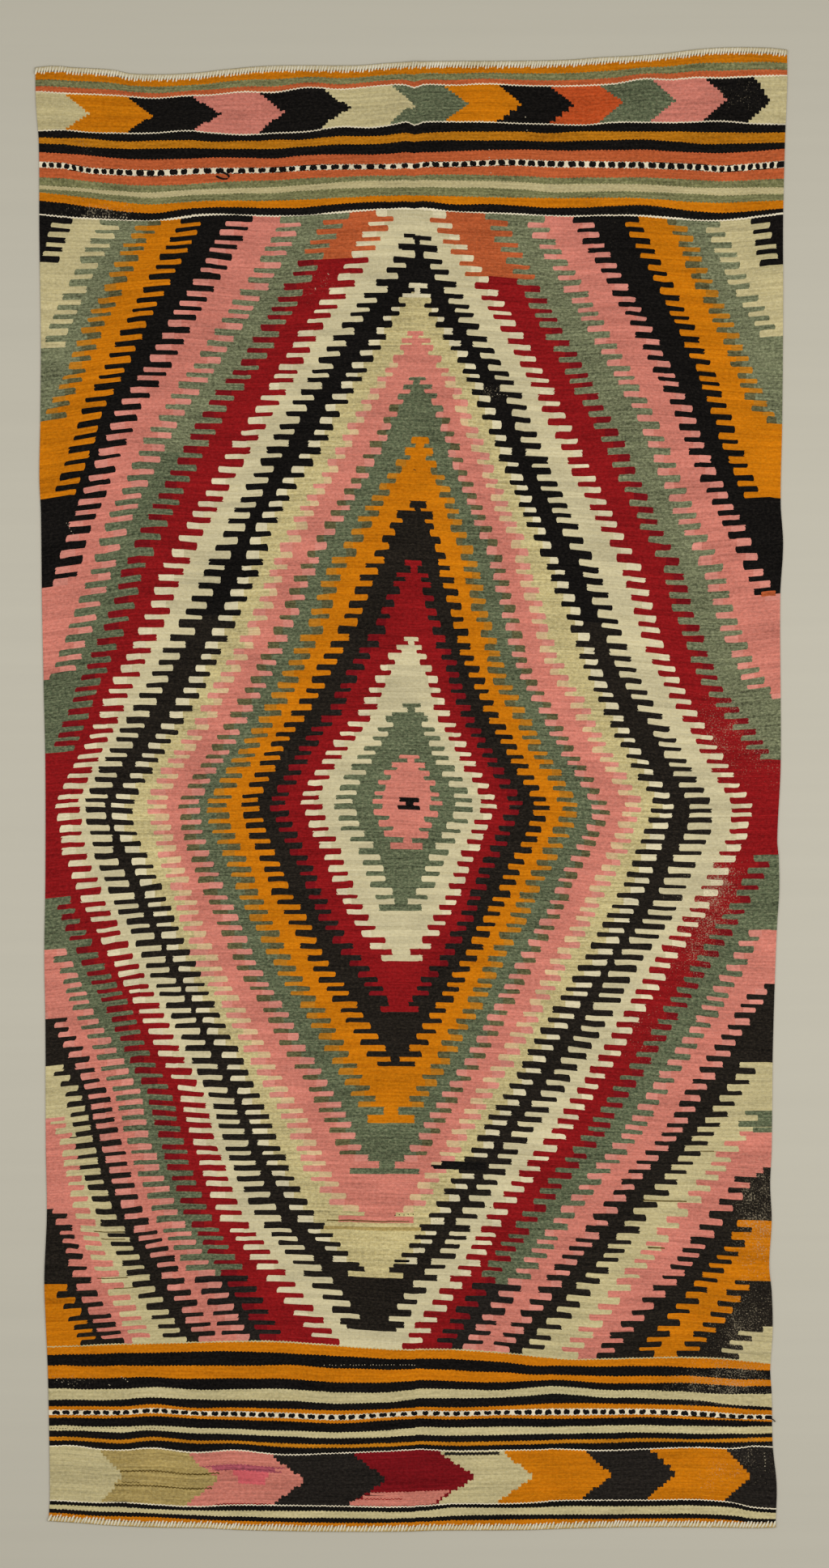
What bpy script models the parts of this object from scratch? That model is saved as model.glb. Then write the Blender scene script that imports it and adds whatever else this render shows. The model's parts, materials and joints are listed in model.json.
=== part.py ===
"""A flat-woven kilim rug laid out on a floor: one cloth, and an overcast binding along each end.

Metres, +Z up. The warp runs along Y, and +Y is the end whose border has the coral stripes.
The origin is on the floor, under the middle of the whole rug's box.
"""

from math import cos, exp, pi, sin

import bmesh
import bpy

# ---- Driving sizes ----
LENGTH = 2.936  # middle of one end binding to middle of the other, on a straight rug
WIDTH = 1.480  # average, selvedge to selvedge
CLOTH_THICKNESS = 0.0030
EDGE_ROUND = 0.0011  # how far the selvedges bulge past the cloth's faces
BINDING_WIDTH = 0.0110
BINDING_THICKNESS = 0.0042
SEAM_GAP = 0.0003  # between the cloth and a binding

ROWS = 64  # mesh steps along the warp
COLUMNS = 24  # mesh steps across, before those that the crease adds
BINDING_SIDES = 8

# ---- The outline, as a worn handmade rug has it ----
# Each selvedge, from the -Y end (along = 0) to the +Y end (along = 1): how far it stands outside
# (+) or inside (-) half of WIDTH, in millimetres.
LEFT_SELVEDGE = (
    # along, outside
    (0.000, -15),
    (0.012, -17),
    (0.050, -16),
    (0.100, -13),
    (0.140, -8),
    (0.165, -6),
    (0.210, -11),
    (0.255, -9),
    (0.345, -8),
    (0.390, -6),
    (0.440, -8),
    (0.520, -8),
    (0.570, -5),
    (0.640, -1),
    (0.697, 1),
    (0.720, 4),
    (0.760, 2),
    (0.820, 1),
    (0.890, 4),
    (0.950, 5),
    (0.980, 11),
    (1.000, 12),
)
RIGHT_SELVEDGE = (
    # along, outside
    (0.000, -11),
    (0.025, -9),
    (0.053, -17),
    (0.088, -19),
    (0.103, -22),
    (0.132, -17),
    (0.157, -19),
    (0.175, -24),
    (0.206, -19),
    (0.230, -22),
    (0.255, -19),
    (0.316, -17),
    (0.366, -13),
    (0.403, -9),
    (0.430, -4),
    (0.453, -5),
    (0.465, -8),
    (0.518, -1),
    (0.630, -2),
    (0.666, 4),
    (0.695, -1),
    (0.750, 2),
    (0.830, 4),
    (0.890, 4),
    (0.945, 8),
    (0.980, 12),
    (1.000, 12),
)

# The middle line of each end's binding, from the left (across = 0) to the right (across = 1):
# how far it stands beyond (+) or short of (-) half of LENGTH, in millimetres.
BOTTOM_END = (
    # across, beyond
    (0.000, -9),
    (0.043, -5),
    (0.088, 0),
    (0.155, 4),
    (0.210, 5),
    (0.266, 9),
    (0.378, 12),
    (0.489, 12),
    (0.534, 10),
    (0.656, 9),
    (0.712, 6),
    (0.768, 4),
    (0.823, 3),
    (0.935, 4),
    (0.968, 5),
    (1.000, 4),
)
TOP_END = (
    # across, beyond
    (0.000, -28),
    (0.023, -25),
    (0.050, -28),
    (0.103, -33),
    (0.125, -40),
    (0.168, -42),
    (0.211, -39),
    (0.254, -32),
    (0.297, -26),
    (0.340, -24),
    (0.427, -24),
    (0.470, -19),
    (0.513, -16),
    (0.642, -15),
    (0.707, -13),
    (0.750, -8),
    (0.793, -5),
    (0.836, 0),
    (0.879, 8),
    (0.922, 12),
    (0.976, 11),
    (1.000, 7),
)

# ---- The relief: the cloth lies flat but for an old fold line and a few slack places ----
CREASE_X = 0.008
CREASE_RISE = 0.0022
CREASE_HALF_WIDTH = 0.012
CREASE_START = 0.64  # y where the crease dies out
CREASE_FADE = 0.48  # length over which it grows to its full height
CREASE_COLUMNS = 4  # mesh steps on each side of the crease
FLAT_BELOW = 0.0001  # a lift less than this lies on the floor

SLACK = (
    # x, y, half width, half length, rise (metres)
    (-0.430, 1.300, 0.120, 0.060, 0.0014),
    (0.340, 1.250, 0.150, 0.070, 0.0012),
    (-0.700, 0.610, 0.050, 0.110, 0.0010),
    (0.700, -0.110, 0.060, 0.140, 0.0014),
    (0.690, -0.980, 0.060, 0.100, 0.0012),
    (-0.690, -1.000, 0.060, 0.110, 0.0010),
    (0.150, -1.240, 0.160, 0.060, 0.0012),
    (-0.300, -1.330, 0.140, 0.050, 0.0011),
)

# ---- Colours, linear RGB ----
COLOURS = {
    "kilim_cloth": (0.33, 0.10, 0.07),
    "end_binding_top": (0.68, 0.62, 0.47),
    "end_binding_bottom": (0.68, 0.62, 0.47),
}
WOOL_ROUGHNESS = 0.95


def read(table, place):
    """A table's second column at a place between its rows, along a smooth curve."""
    rows = len(table)
    after = next((i for i in range(1, rows) if table[i][0] >= place), rows - 1)
    before = after - 1
    (x0, y0), (x1, y1) = table[before], table[after]

    def slope(i):
        (low, low_value), (high, high_value) = table[max(i - 1, 0)], table[min(i + 1, rows - 1)]
        return (high_value - low_value) / (high - low)

    t = min(max((place - x0) / (x1 - x0), 0.0), 1.0)
    step = x1 - x0
    return (
        (1 + 2 * t) * (1 - t) ** 2 * y0
        + t * (1 - t) ** 2 * step * slope(before)
        + t * t * (3 - 2 * t) * y1
        + t * t * (t - 1) * step * slope(after)
    )


def left_edge(along):
    return -WIDTH / 2 - read(LEFT_SELVEDGE, along) / 1000


def right_edge(along):
    return WIDTH / 2 + read(RIGHT_SELVEDGE, along) / 1000


def bottom_line(across):
    return -LENGTH / 2 - read(BOTTOM_END, across) / 1000


def top_line(across):
    return LENGTH / 2 + read(TOP_END, across) / 1000


def plan(across, along, inset=0.0):
    """The place on the floor at shares of the width and length, with the ends drawn in by inset."""
    x = left_edge(along) * (1 - across) + right_edge(along) * across
    y = (bottom_line(across) + inset) * (1 - along) + (top_line(across) - inset) * along
    return x, y


def middle_of_box():
    """The middle of the rug's box, whose ends both reach half a binding past their middle lines."""
    steps = [i / (4 * ROWS) for i in range(4 * ROWS + 1)]
    low_x = min(left_edge(s) for s in steps)
    high_x = max(right_edge(s) for s in steps)
    low_y = min(bottom_line(s) for s in steps)
    high_y = max(top_line(s) for s in steps)
    return (low_x + high_x) / 2, (low_y + high_y) / 2


def rise(x, y):
    """How high the cloth lifts off the floor: a soft ridge along the crease, and low swells."""
    grown = min(max((y - CREASE_START) / CREASE_FADE, 0.0), 1.0)
    grown = grown * grown * (3 - 2 * grown)
    lift = CREASE_RISE * grown * exp(-(((x - CREASE_X) / CREASE_HALF_WIDTH) ** 2))
    for slack_x, slack_y, half_width, half_length, height in SLACK:
        away = ((x - slack_x) / half_width) ** 2 + ((y - slack_y) / half_length) ** 2
        lift += height * exp(-away)
    return max(lift - FLAT_BELOW, 0.0)


def columns_across():
    """Even steps across as shares of the width, and close ones over the crease."""
    even = [i / COLUMNS for i in range(COLUMNS + 1)]
    fold = 0.5 + CREASE_X / WIDTH
    step = CREASE_HALF_WIDTH / 2 / WIDTH
    close = [fold + step * k for k in range(-CREASE_COLUMNS, CREASE_COLUMNS + 1)]
    kept = [share for share in even if abs(share - fold) > step * (CREASE_COLUMNS + 1)]
    return sorted(kept + close)


def add_object(name, mesh_data, smooth_angle):
    """Closes the bmesh into a named object with its own wool material."""
    bmesh.ops.recalc_face_normals(mesh_data, faces=mesh_data.faces)
    mesh = bpy.data.meshes.new(name)
    mesh_data.to_mesh(mesh)
    mesh_data.free()
    mesh.shade_smooth()
    mesh.set_sharp_from_angle(angle=smooth_angle)
    material = bpy.data.materials.new(name)
    material.use_nodes = True
    shader = material.node_tree.nodes["Principled BSDF"]
    shader.inputs["Base Color"].default_value = (*COLOURS[name], 1.0)
    shader.inputs["Roughness"].default_value = WOOL_ROUGHNESS
    shader.inputs["Metallic"].default_value = 0.0
    mesh.materials.append(material)
    placed = bpy.data.objects.new(name, mesh)
    bpy.context.scene.collection.objects.link(placed)
    return placed


def cloth():
    """The woven sheet: a closed slab on the outline, with rounded selvedges."""
    inset = BINDING_WIDTH / 2 + SEAM_GAP
    across = columns_across()
    along = [i / ROWS for i in range(ROWS + 1)]
    last_row, last_column = len(along) - 1, len(across) - 1
    made = bmesh.new()

    def corner(i, j, height, draw_in):
        x, y = plan(across[i], along[j], inset)
        side = {0: 1, last_column: -1}.get(i, 0)
        return made.verts.new((x + side * draw_in, y, rise(x, y) + height))

    def layer(height):
        return {
            (i, j): corner(i, j, height, EDGE_ROUND)
            for j in range(last_row + 1)
            for i in range(last_column + 1)
        }

    under, over = layer(0.0), layer(CLOTH_THICKNESS)
    for j in range(last_row):
        for i in range(last_column):
            ring = ((i, j), (i + 1, j), (i + 1, j + 1), (i, j + 1))
            made.faces.new([over[place] for place in ring])
            made.faces.new([under[place] for place in reversed(ring)])
    rim = [(i, 0) for i in range(last_column)]
    rim += [(last_column, j) for j in range(last_row)]
    rim += [(i, last_row) for i in range(last_column, 0, -1)]
    rim += [(0, j) for j in range(last_row, 0, -1)]
    middle = {(i, j): corner(i, j, CLOTH_THICKNESS / 2, 0.0) for i, j in rim}
    for here, after in zip(rim, rim[1:] + rim[:1]):
        made.faces.new([under[here], under[after], middle[after], middle[here]])
        made.faces.new([middle[here], middle[after], over[after], over[here]])
    return add_object("kilim_cloth", made, pi / 6)


def binding(name, line):
    """One end's overcast binding: a flattened cord of wool along the end, resting on the floor."""
    made = bmesh.new()
    to_corner = 1 / cos(pi / BINDING_SIDES)  # so that the flat sides stand at the stated sizes
    half_width = BINDING_WIDTH / 2 * to_corner
    half_height = BINDING_THICKNESS / 2 * to_corner
    turns = [2 * pi * (side + 0.5) / BINDING_SIDES for side in range(BINDING_SIDES)]
    rings = []
    for share in columns_across():
        x, y = line(share)
        middle = rise(x, y) + BINDING_THICKNESS / 2
        rings.append(
            [
                made.verts.new((x, y + half_width * cos(turn), middle + half_height * sin(turn)))
                for turn in turns
            ]
        )
    for ring, after in zip(rings, rings[1:]):
        for side in range(BINDING_SIDES):
            other = (side + 1) % BINDING_SIDES
            made.faces.new([ring[side], ring[other], after[other], after[side]])
    made.faces.new(rings[0])
    made.faces.new(rings[-1])
    return add_object(name, made, pi / 3)


def main():
    for old in list(bpy.data.objects):
        bpy.data.objects.remove(old, do_unlink=True)
    bindings = {
        "end_binding_bottom": lambda share: plan(share, 0.0),
        "end_binding_top": lambda share: plan(share, 1.0),
    }
    pieces = [cloth()] + [binding(name, line) for name, line in bindings.items()]
    middle_x, middle_y = middle_of_box()
    for piece in pieces:
        piece.location = (-middle_x, -middle_y, 0.0)


main()
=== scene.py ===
"""The look of the kilim rug: dyed weave, overcast ends, stray yarns, floor, light and camera.

The weave is charted in squares of 1.62 mm, as a weaver's cartoon is: `x` counts from the left and
`y` from the top (+Y end). Every weft row runs from selvedge to selvedge between two wavy lines.
"""

import json
import random
from bisect import bisect_left, bisect_right
from math import cos, exp, pi, sin

import bpy
import numpy as np
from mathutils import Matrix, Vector

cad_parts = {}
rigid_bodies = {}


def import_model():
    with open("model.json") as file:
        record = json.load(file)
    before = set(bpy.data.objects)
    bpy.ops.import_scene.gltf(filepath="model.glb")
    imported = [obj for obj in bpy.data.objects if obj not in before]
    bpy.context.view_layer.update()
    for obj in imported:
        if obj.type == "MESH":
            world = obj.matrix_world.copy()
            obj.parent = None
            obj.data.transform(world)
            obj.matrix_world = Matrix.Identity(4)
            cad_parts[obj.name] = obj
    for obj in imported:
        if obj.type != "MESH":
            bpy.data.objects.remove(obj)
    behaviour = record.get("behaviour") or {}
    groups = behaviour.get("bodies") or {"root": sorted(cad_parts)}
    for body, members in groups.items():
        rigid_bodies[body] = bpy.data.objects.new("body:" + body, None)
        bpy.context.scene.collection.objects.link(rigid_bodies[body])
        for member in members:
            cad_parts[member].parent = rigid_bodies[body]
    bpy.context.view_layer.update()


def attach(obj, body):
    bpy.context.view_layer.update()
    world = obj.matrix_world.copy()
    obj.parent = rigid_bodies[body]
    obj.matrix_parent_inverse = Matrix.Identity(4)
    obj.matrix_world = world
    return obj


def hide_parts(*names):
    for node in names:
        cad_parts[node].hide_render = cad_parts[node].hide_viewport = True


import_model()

random.seed(7)


# ---------------------------------------------------------------- how the tables are written
def run(y, *xs):
    """Points of an edge that stand every 50 squares down the chart, from y on."""
    return [(y + 50 * i, x) for i, x in enumerate(xs)]


def each(groups):
    """The entries of a table that lists them behind the dye they share."""
    return [(dye, *entry) for dye, *entries in groups for entry in entries]


# ---------------------------------------------------------------- the rug's sizes, as in the CAD
LENGTH = 2.936
WIDTH = 1.480
BINDING_WIDTH = 0.0110
SEAM_GAP = 0.0003
END_INSET = BINDING_WIDTH / 2 + SEAM_GAP  # from a binding's middle to the cloth's end
RIM_HEIGHT = 0.0011  # of the selvedges' lower corners

LEFT_SELVEDGE = (
    # along from the -Y end, outside half of WIDTH in mm
    (0.000, -15), (0.012, -17), (0.050, -16), (0.100, -13), (0.140, -8), (0.165, -6),
    (0.210, -11), (0.255, -9), (0.345, -8), (0.390, -6), (0.440, -8), (0.520, -8),
    (0.570, -5), (0.640, -1), (0.697, 1), (0.720, 4), (0.760, 2), (0.820, 1),
    (0.890, 4), (0.950, 5), (0.980, 11), (1.000, 12),
)
RIGHT_SELVEDGE = (
    # along from the -Y end, outside half of WIDTH in mm
    (0.000, -11), (0.025, -9), (0.053, -17), (0.088, -19), (0.103, -22), (0.132, -17),
    (0.157, -19), (0.175, -24), (0.206, -19), (0.230, -22), (0.255, -19), (0.316, -17),
    (0.366, -13), (0.403, -9), (0.430, -4), (0.453, -5), (0.465, -8), (0.518, -1),
    (0.630, -2), (0.666, 4), (0.695, -1), (0.750, 2), (0.830, 4), (0.890, 4),
    (0.945, 8), (0.980, 12), (1.000, 12),
)
BOTTOM_END = (
    # across from the left, beyond half of LENGTH in mm
    (0.000, -9), (0.043, -5), (0.088, 0), (0.155, 4), (0.210, 5), (0.266, 9), (0.378, 12),
    (0.489, 12), (0.534, 10), (0.656, 9), (0.712, 6), (0.768, 4), (0.823, 3), (0.935, 4),
    (0.968, 5), (1.000, 4),
)
TOP_END = (
    # across from the left, beyond half of LENGTH in mm
    (0.000, -28), (0.023, -25), (0.050, -28), (0.103, -33), (0.125, -40), (0.168, -42),
    (0.211, -39), (0.254, -32), (0.297, -26), (0.340, -24), (0.427, -24), (0.470, -19),
    (0.513, -16), (0.642, -15), (0.707, -13), (0.750, -8), (0.793, -5), (0.836, 0),
    (0.879, 8), (0.922, 12), (0.976, 11), (1.000, 7),
)
CREASE_X = 0.008
CREASE_RISE = 0.0022
CREASE_HALF_WIDTH = 0.012
CREASE_START = 0.64
CREASE_FADE = 0.48
FLAT_BELOW = 0.0001
SLACK = (
    # x, y, half width, half length, rise (metres)
    (-0.430, 1.300, 0.120, 0.060, 0.0014),
    (0.340, 1.250, 0.150, 0.070, 0.0012),
    (-0.700, 0.610, 0.050, 0.110, 0.0010),
    (0.700, -0.110, 0.060, 0.140, 0.0014),
    (0.690, -0.980, 0.060, 0.100, 0.0012),
    (-0.690, -1.000, 0.060, 0.110, 0.0010),
    (0.150, -1.240, 0.160, 0.060, 0.0012),
    (-0.300, -1.330, 0.140, 0.050, 0.0011),
)

# ---------------------------------------------------------------- the chart
SQUARE = 0.00162  # metres
PHOTO_SIZE = (1024, 1937)  # squares, one for each pixel
MIDDLE_X = 508.0  # the chart place of the rug's middle
MIDDLE_Y = 975.25
CLOTH_TOP = 83.0  # chart heights at the rug's middle
FIELD_TOP = 261.0
FIELD_MIDDLE = 993
FIELD_BOTTOM = 1665.0
CLOTH_BOTTOM = 1886.0
TOP_ROW, BOTTOM_ROW = 79, 1884  # where the selvedges meet the ends
NEAR_LEFT, NEAR_RIGHT = 60, 955  # columns just inside the selvedges
WARP = 1.8  # squares from one rib to the next
SPAN = np.arange(30.0, 991.0)  # columns at which the weft lines are worked out
HEIGHTS = np.arange(60.0, 1901.0)  # heights at which the selvedges are worked out

# How the lines of the upper border wave: the chart height of each where it crosses x.
TOP_LINES = (106, 152, 164, 174.5, 187, 203.5, 217, 223, 232.6, 242.4, 250.6, 258)
# x, arrows, black, gold, black, coral, dots, green, cream, green, gold, black, white
TOP_WAVES = (
    # x,  arrows, black, gold, black, coral, dots, green, cream, green, gold, black, white
    (50, 114, 162, 170.5, 177, 188.5, 203, 219.5, 229, 234, 238, 248, 264),
    (80, 116, 161, 171, 179, 190.5, 205, 221, 231, 235.5, 241, 251.5, 267),
    (110, 117, 164, 172, 182, 193, 211, 224, 233.5, 238, 245, 256, 269),
    (150, 119, 165, 175, 184, 196, 213, 228, 236.5, 242, 250, 261, 271),
    (190, 122, 165, 174, 184, 197, 214, 229.5, 238, 245, 253, 263.5, 272),
    (230, 119, 162, 173.5, 183.5, 196.5, 212, 228, 235, 241.5, 250, 258, 266),
    (260, 118, 164.5, 175.5, 184, 195.5, 211, 226, 233.5, 240, 248, 256.5, 263.5),
    (300, 114, 167, 174.5, 184.5, 195.5, 211, 224, 232.5, 239.5, 248, 256.5, 265),
    (340, 114.5, 165, 173.5, 184, 196, 210, 223, 231.5, 239, 248, 257.5, 266),
    (380, 108.5, 163, 172.5, 181, 192.5, 207.5, 220.5, 228.5, 235.5, 246.5, 256, 265.5),
    (420, 111, 157, 168.5, 178.5, 191, 206.5, 219, 225.5, 233.5, 244.5, 252, 260.5),
    (460, 107.5, 158, 169, 178.5, 191, 206.5, 217.5, 223.5, 232, 242.5, 250, 258),
    (490, 105, 153.5, 165.5, 175.5, 189.5, 206, 217, 223, 231.5, 242, 249.5, 257),
    (503, 106, 151, 164.5, 174.5, 188.5, 205, 217, 222.5, 231.5, 241.5, 249, 256),
    (513, 109, 155, 167, 176, 190, 206, 218, 223.5, 232.5, 242.5, 250, 257.5),
    (525, 105, 151, 165, 174.5, 188.5, 203.5, 216.5, 222.5, 231.5, 242, 249, 256),
    (560, 106, 151, 163.5, 174, 187, 203.5, 216, 223.5, 232, 243, 253, 261),
    (600, 104, 151, 163, 173.5, 186, 201.5, 216.5, 224, 232.5, 244, 252.5, 262),
    (640, 106, 153, 163, 174, 185.5, 200.5, 217.5, 225, 234, 244.5, 254.5, 263.5),
    (680, 107, 154, 165, 175, 186, 202.5, 220, 228, 238, 245, 257, 266),
    (720, 106.5, 155, 163, 174.5, 186, 203, 219.5, 227.5, 237.5, 244.5, 256.5, 266),
    (760, 104, 151.5, 162.5, 173.5, 185.5, 204, 219.5, 227.5, 237, 244.5, 254.5, 265),
    (795, 98, 151.5, 162.5, 173, 185.5, 204.5, 219.5, 228, 237, 245.5, 253.5, 265.5),
    (830, 99, 152, 163, 175, 187, 205.5, 221, 230, 238.5, 248, 258, 268),
    (860, 96.5, 151, 164, 177.5, 189, 206.5, 222.5, 232, 240, 250, 261.5, 271),
    (890, 97, 150, 164, 178, 190, 209, 224, 232.5, 242, 251, 263, 271.5),
    (930, 95, 153, 164.5, 177, 187.5, 206, 222.5, 232, 240.5, 249.5, 261, 267),
    (966, 94, 154, 164, 176, 184, 203, 221, 232, 240, 248, 257.5, 262),
)
BOTTOM_LINES = (
    1677, 1692, 1705, 1716, 1727, 1738, 1745, 1752, 1763, 1773, 1781, 1785.5, 1793.5,
    1860, 1864.5, 1874.5, 1880,
)
# x, black, gold, black, cream, black, gold, dots, black, cream, black, gold, black, arrows, black,
# cream, black, gold
BOTTOM_WAVES = (
    # x, black, gold, black, cream, black, gold, dots, black, cream, black, gold, black, arrows,
    #    black, cream, black, gold
    (60, 1674, 1687, 1703, 1715, 1729, 1737, 1744.5, 1751, 1761, 1767, 1774.5, 1779.5, 1786,
     1854, 1858, 1863.5, 1868),
    (90, 1673, 1687, 1702.5, 1715.5, 1729, 1737, 1744.5, 1751, 1761, 1767, 1774.5, 1779.5, 1785.5,
     1855.5, 1859, 1865, 1870),
    (120, 1672, 1687, 1702, 1716, 1729.5, 1737, 1744.5, 1751.5, 1762, 1768, 1776.5, 1781.5, 1789.5,
     1857, 1860.5, 1867, 1872),
    (150, 1670.5, 1686.5, 1701.5, 1715, 1728, 1737, 1744.5, 1751, 1762, 1769, 1778, 1783, 1791,
     1856.5, 1861, 1868, 1872.5),
    (190, 1670.5, 1686.5, 1701, 1713.5, 1726, 1734.5, 1742, 1749, 1760.5, 1766.5, 1774.5, 1779.5,
     1788.5, 1859.5, 1863.5, 1869.5, 1873.5),
    (240, 1669.5, 1687, 1703, 1716, 1728.5, 1739, 1745, 1752, 1764, 1770.5, 1779, 1783, 1794,
     1862, 1865, 1872, 1876.5),
    (290, 1669, 1687, 1702.5, 1716, 1729, 1738.5, 1746, 1753.5, 1765, 1771, 1779, 1783, 1791,
     1860, 1865.5, 1873.5, 1878),
    (350, 1671, 1686, 1703, 1716, 1730, 1740, 1748, 1755, 1767, 1774, 1782.5, 1787.5, 1796.5,
     1860.5, 1865.5, 1875, 1879.5),
    (420, 1674.5, 1690, 1707.5, 1720, 1733.5, 1742, 1750.5, 1758, 1769, 1776.5, 1784, 1788.5,
     1794.5, 1861.5, 1866, 1875.5, 1880.5),
    (480, 1678, 1692, 1707, 1719.5, 1731.5, 1740.5, 1747, 1754, 1766, 1774.5, 1782, 1787, 1792,
     1862.5, 1867, 1876, 1880.5),
    (520, 1678, 1691, 1704.5, 1715, 1727, 1738, 1745, 1752, 1762.5, 1772, 1780, 1784.5, 1790,
     1861.5, 1866, 1875, 1879.5),
    (560, 1679, 1692.5, 1706, 1716, 1726.5, 1738.5, 1745.5, 1753, 1763.5, 1773, 1781, 1786, 1792,
     1858.5, 1861.5, 1873, 1877.5),
    (620, 1682, 1695.5, 1707.5, 1716.5, 1726, 1736.5, 1744.5, 1751, 1762, 1772, 1780, 1785, 1791,
     1858.5, 1861.5, 1871.5, 1876.5),
    (660, 1686.5, 1697.5, 1705.5, 1713.5, 1723, 1734.5, 1744, 1752, 1762.5, 1771.5, 1779, 1784,
     1790.5, 1857, 1861, 1871.5, 1876),
    (690, 1687, 1698, 1704.5, 1712.5, 1721.5, 1733.5, 1744, 1752, 1762, 1771, 1778, 1783, 1789.5,
     1854.5, 1860, 1871.5, 1876),
    (740, 1688, 1699, 1708, 1716.5, 1725.5, 1733.5, 1744, 1751.5, 1761, 1770, 1777.5, 1782.5,
     1791.5, 1854, 1859.5, 1871, 1876),
    (800, 1687, 1699.5, 1708, 1717, 1727, 1734.5, 1744, 1750.5, 1760.5, 1769, 1776, 1781, 1789.5,
     1854, 1859.5, 1871, 1875.5),
    (860, 1689, 1700, 1708.5, 1720, 1729.5, 1736, 1746.5, 1753, 1761.5, 1771, 1777.5, 1781.5,
     1787.5, 1853.5, 1859, 1870.5, 1875),
    (905, 1690, 1703, 1712, 1722, 1735, 1739, 1750.5, 1754, 1762.5, 1770.5, 1776.5, 1781.5, 1789,
     1857, 1861.5, 1872.5, 1877.5),
    (930, 1691.5, 1704, 1712, 1721.5, 1736.5, 1741, 1751, 1755, 1762, 1770.5, 1775.5, 1781, 1786,
     1863, 1866, 1876, 1880.5),
    (955, 1693, 1705, 1712, 1721, 1738, 1742, 1751, 1756, 1762, 1770, 1775, 1780.5, 1787,
     1865, 1868, 1876.5, 1881),
)
# How far the weft lines of the field lie below their height at the middle, at these columns.
FIELD_COLUMNS = (
    50, 90, 130, 170, 210, 250, 290, 340, 400, 490, 560, 630, 700, 740, 780, 820, 860, 900, 966,
)
FIELD_WAVES = (
    (261, 5, 9, 11, 12, 11, 6, 5, 7, 4, -2, 1, 4, 7, 6, 6, 9, 12, 12, 4),
    (310, 6, 7, 6, 5, 3, 1, 4, 6, 2, -1, 4, 8, 11, 8, 8, 11, 13, 14, 9),
    (360, 9, 11, 8, 3, -1, 0, 4, 7, 4, 1, 3, 7, 9, 6, 7, 11, 14, 15, 9),
    (480, 14, 8, 2, -1, 0, 2, 3, 2, 1, 0, 0, 5, 9, 6, 4, 5, 9, 13, 17),
    (560, 13, 7, 0, -5, -4, -2, -1, -2, -1, 0, 3, 9, 12, 10, 8, 9, 9, 10, 12),
    (640, 11, 6, 2, -3, -2, 1, 2, 1, -1, 0, 3, 6, 8, 12, 15, 18, 16, 11, 8),
    (730, 17, 12, 6, 0, -1, 1, 2, 1, -1, -1, 2, 6, 8, 12, 16, 20, 22, 21, 15),
    (850, 12, 6, 2, 1, 0, 0, 0, 0, 0, 0, 1, 3, 5, 5, 8, 12, 16, 19, 12),
    (910, 9, 6, 2, 2, 4, 5, 4, 1, 0, 0, 1, 4, 6, 7, 8, 13, 15, 17, 16),
    (993, 7, 4, 4, 6, 6, 5, 4, 2, 0, 0, 3, 7, 9, 13, 16, 17, 17, 16, 15),
    (1090, 14, 10, 7, 5, 2, 1, 1, 1, 0, 0, 1, 4, 8, 12, 14, 15, 17, 18, 17),
    (1185, 19, 15, 10, 4, 1, 0, -1, -1, 0, 0, 0, 2, 5, 5, 6, 9, 14, 19, 22),
    (1275, 12, 9, 5, 1, 0, 0, 0, 0, 0, 0, 1, 4, 8, 12, 14, 16, 19, 21, 23),
    (1370, 11, 7, 1, -3, -1, 2, 4, 3, 1, 0, 2, 5, 9, 13, 17, 20, 20, 19, 18),
    (1450, 7, 5, 2, -1, -3, -2, -2, -2, -1, 0, 1, 4, 8, 8, 8, 8, 9, 11, 15),
    (1530, -1, 0, 3, 3, -3, -4, -3, -3, -2, 0, 1, 4, 8, 11, 13, 15, 18, 21, 22),
    (1620, 9, 7, 3, 0, -3, -6, -9, -9, -6, -1, 2, 6, 10, 13, 13, 11, 12, 16, 21),
    (1665, -2, -3, -5, -6, -7, -8, -9, -9, -5, 1, 1, 6, 13, 13, 12, 11, 11, 13, 20),
)

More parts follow.
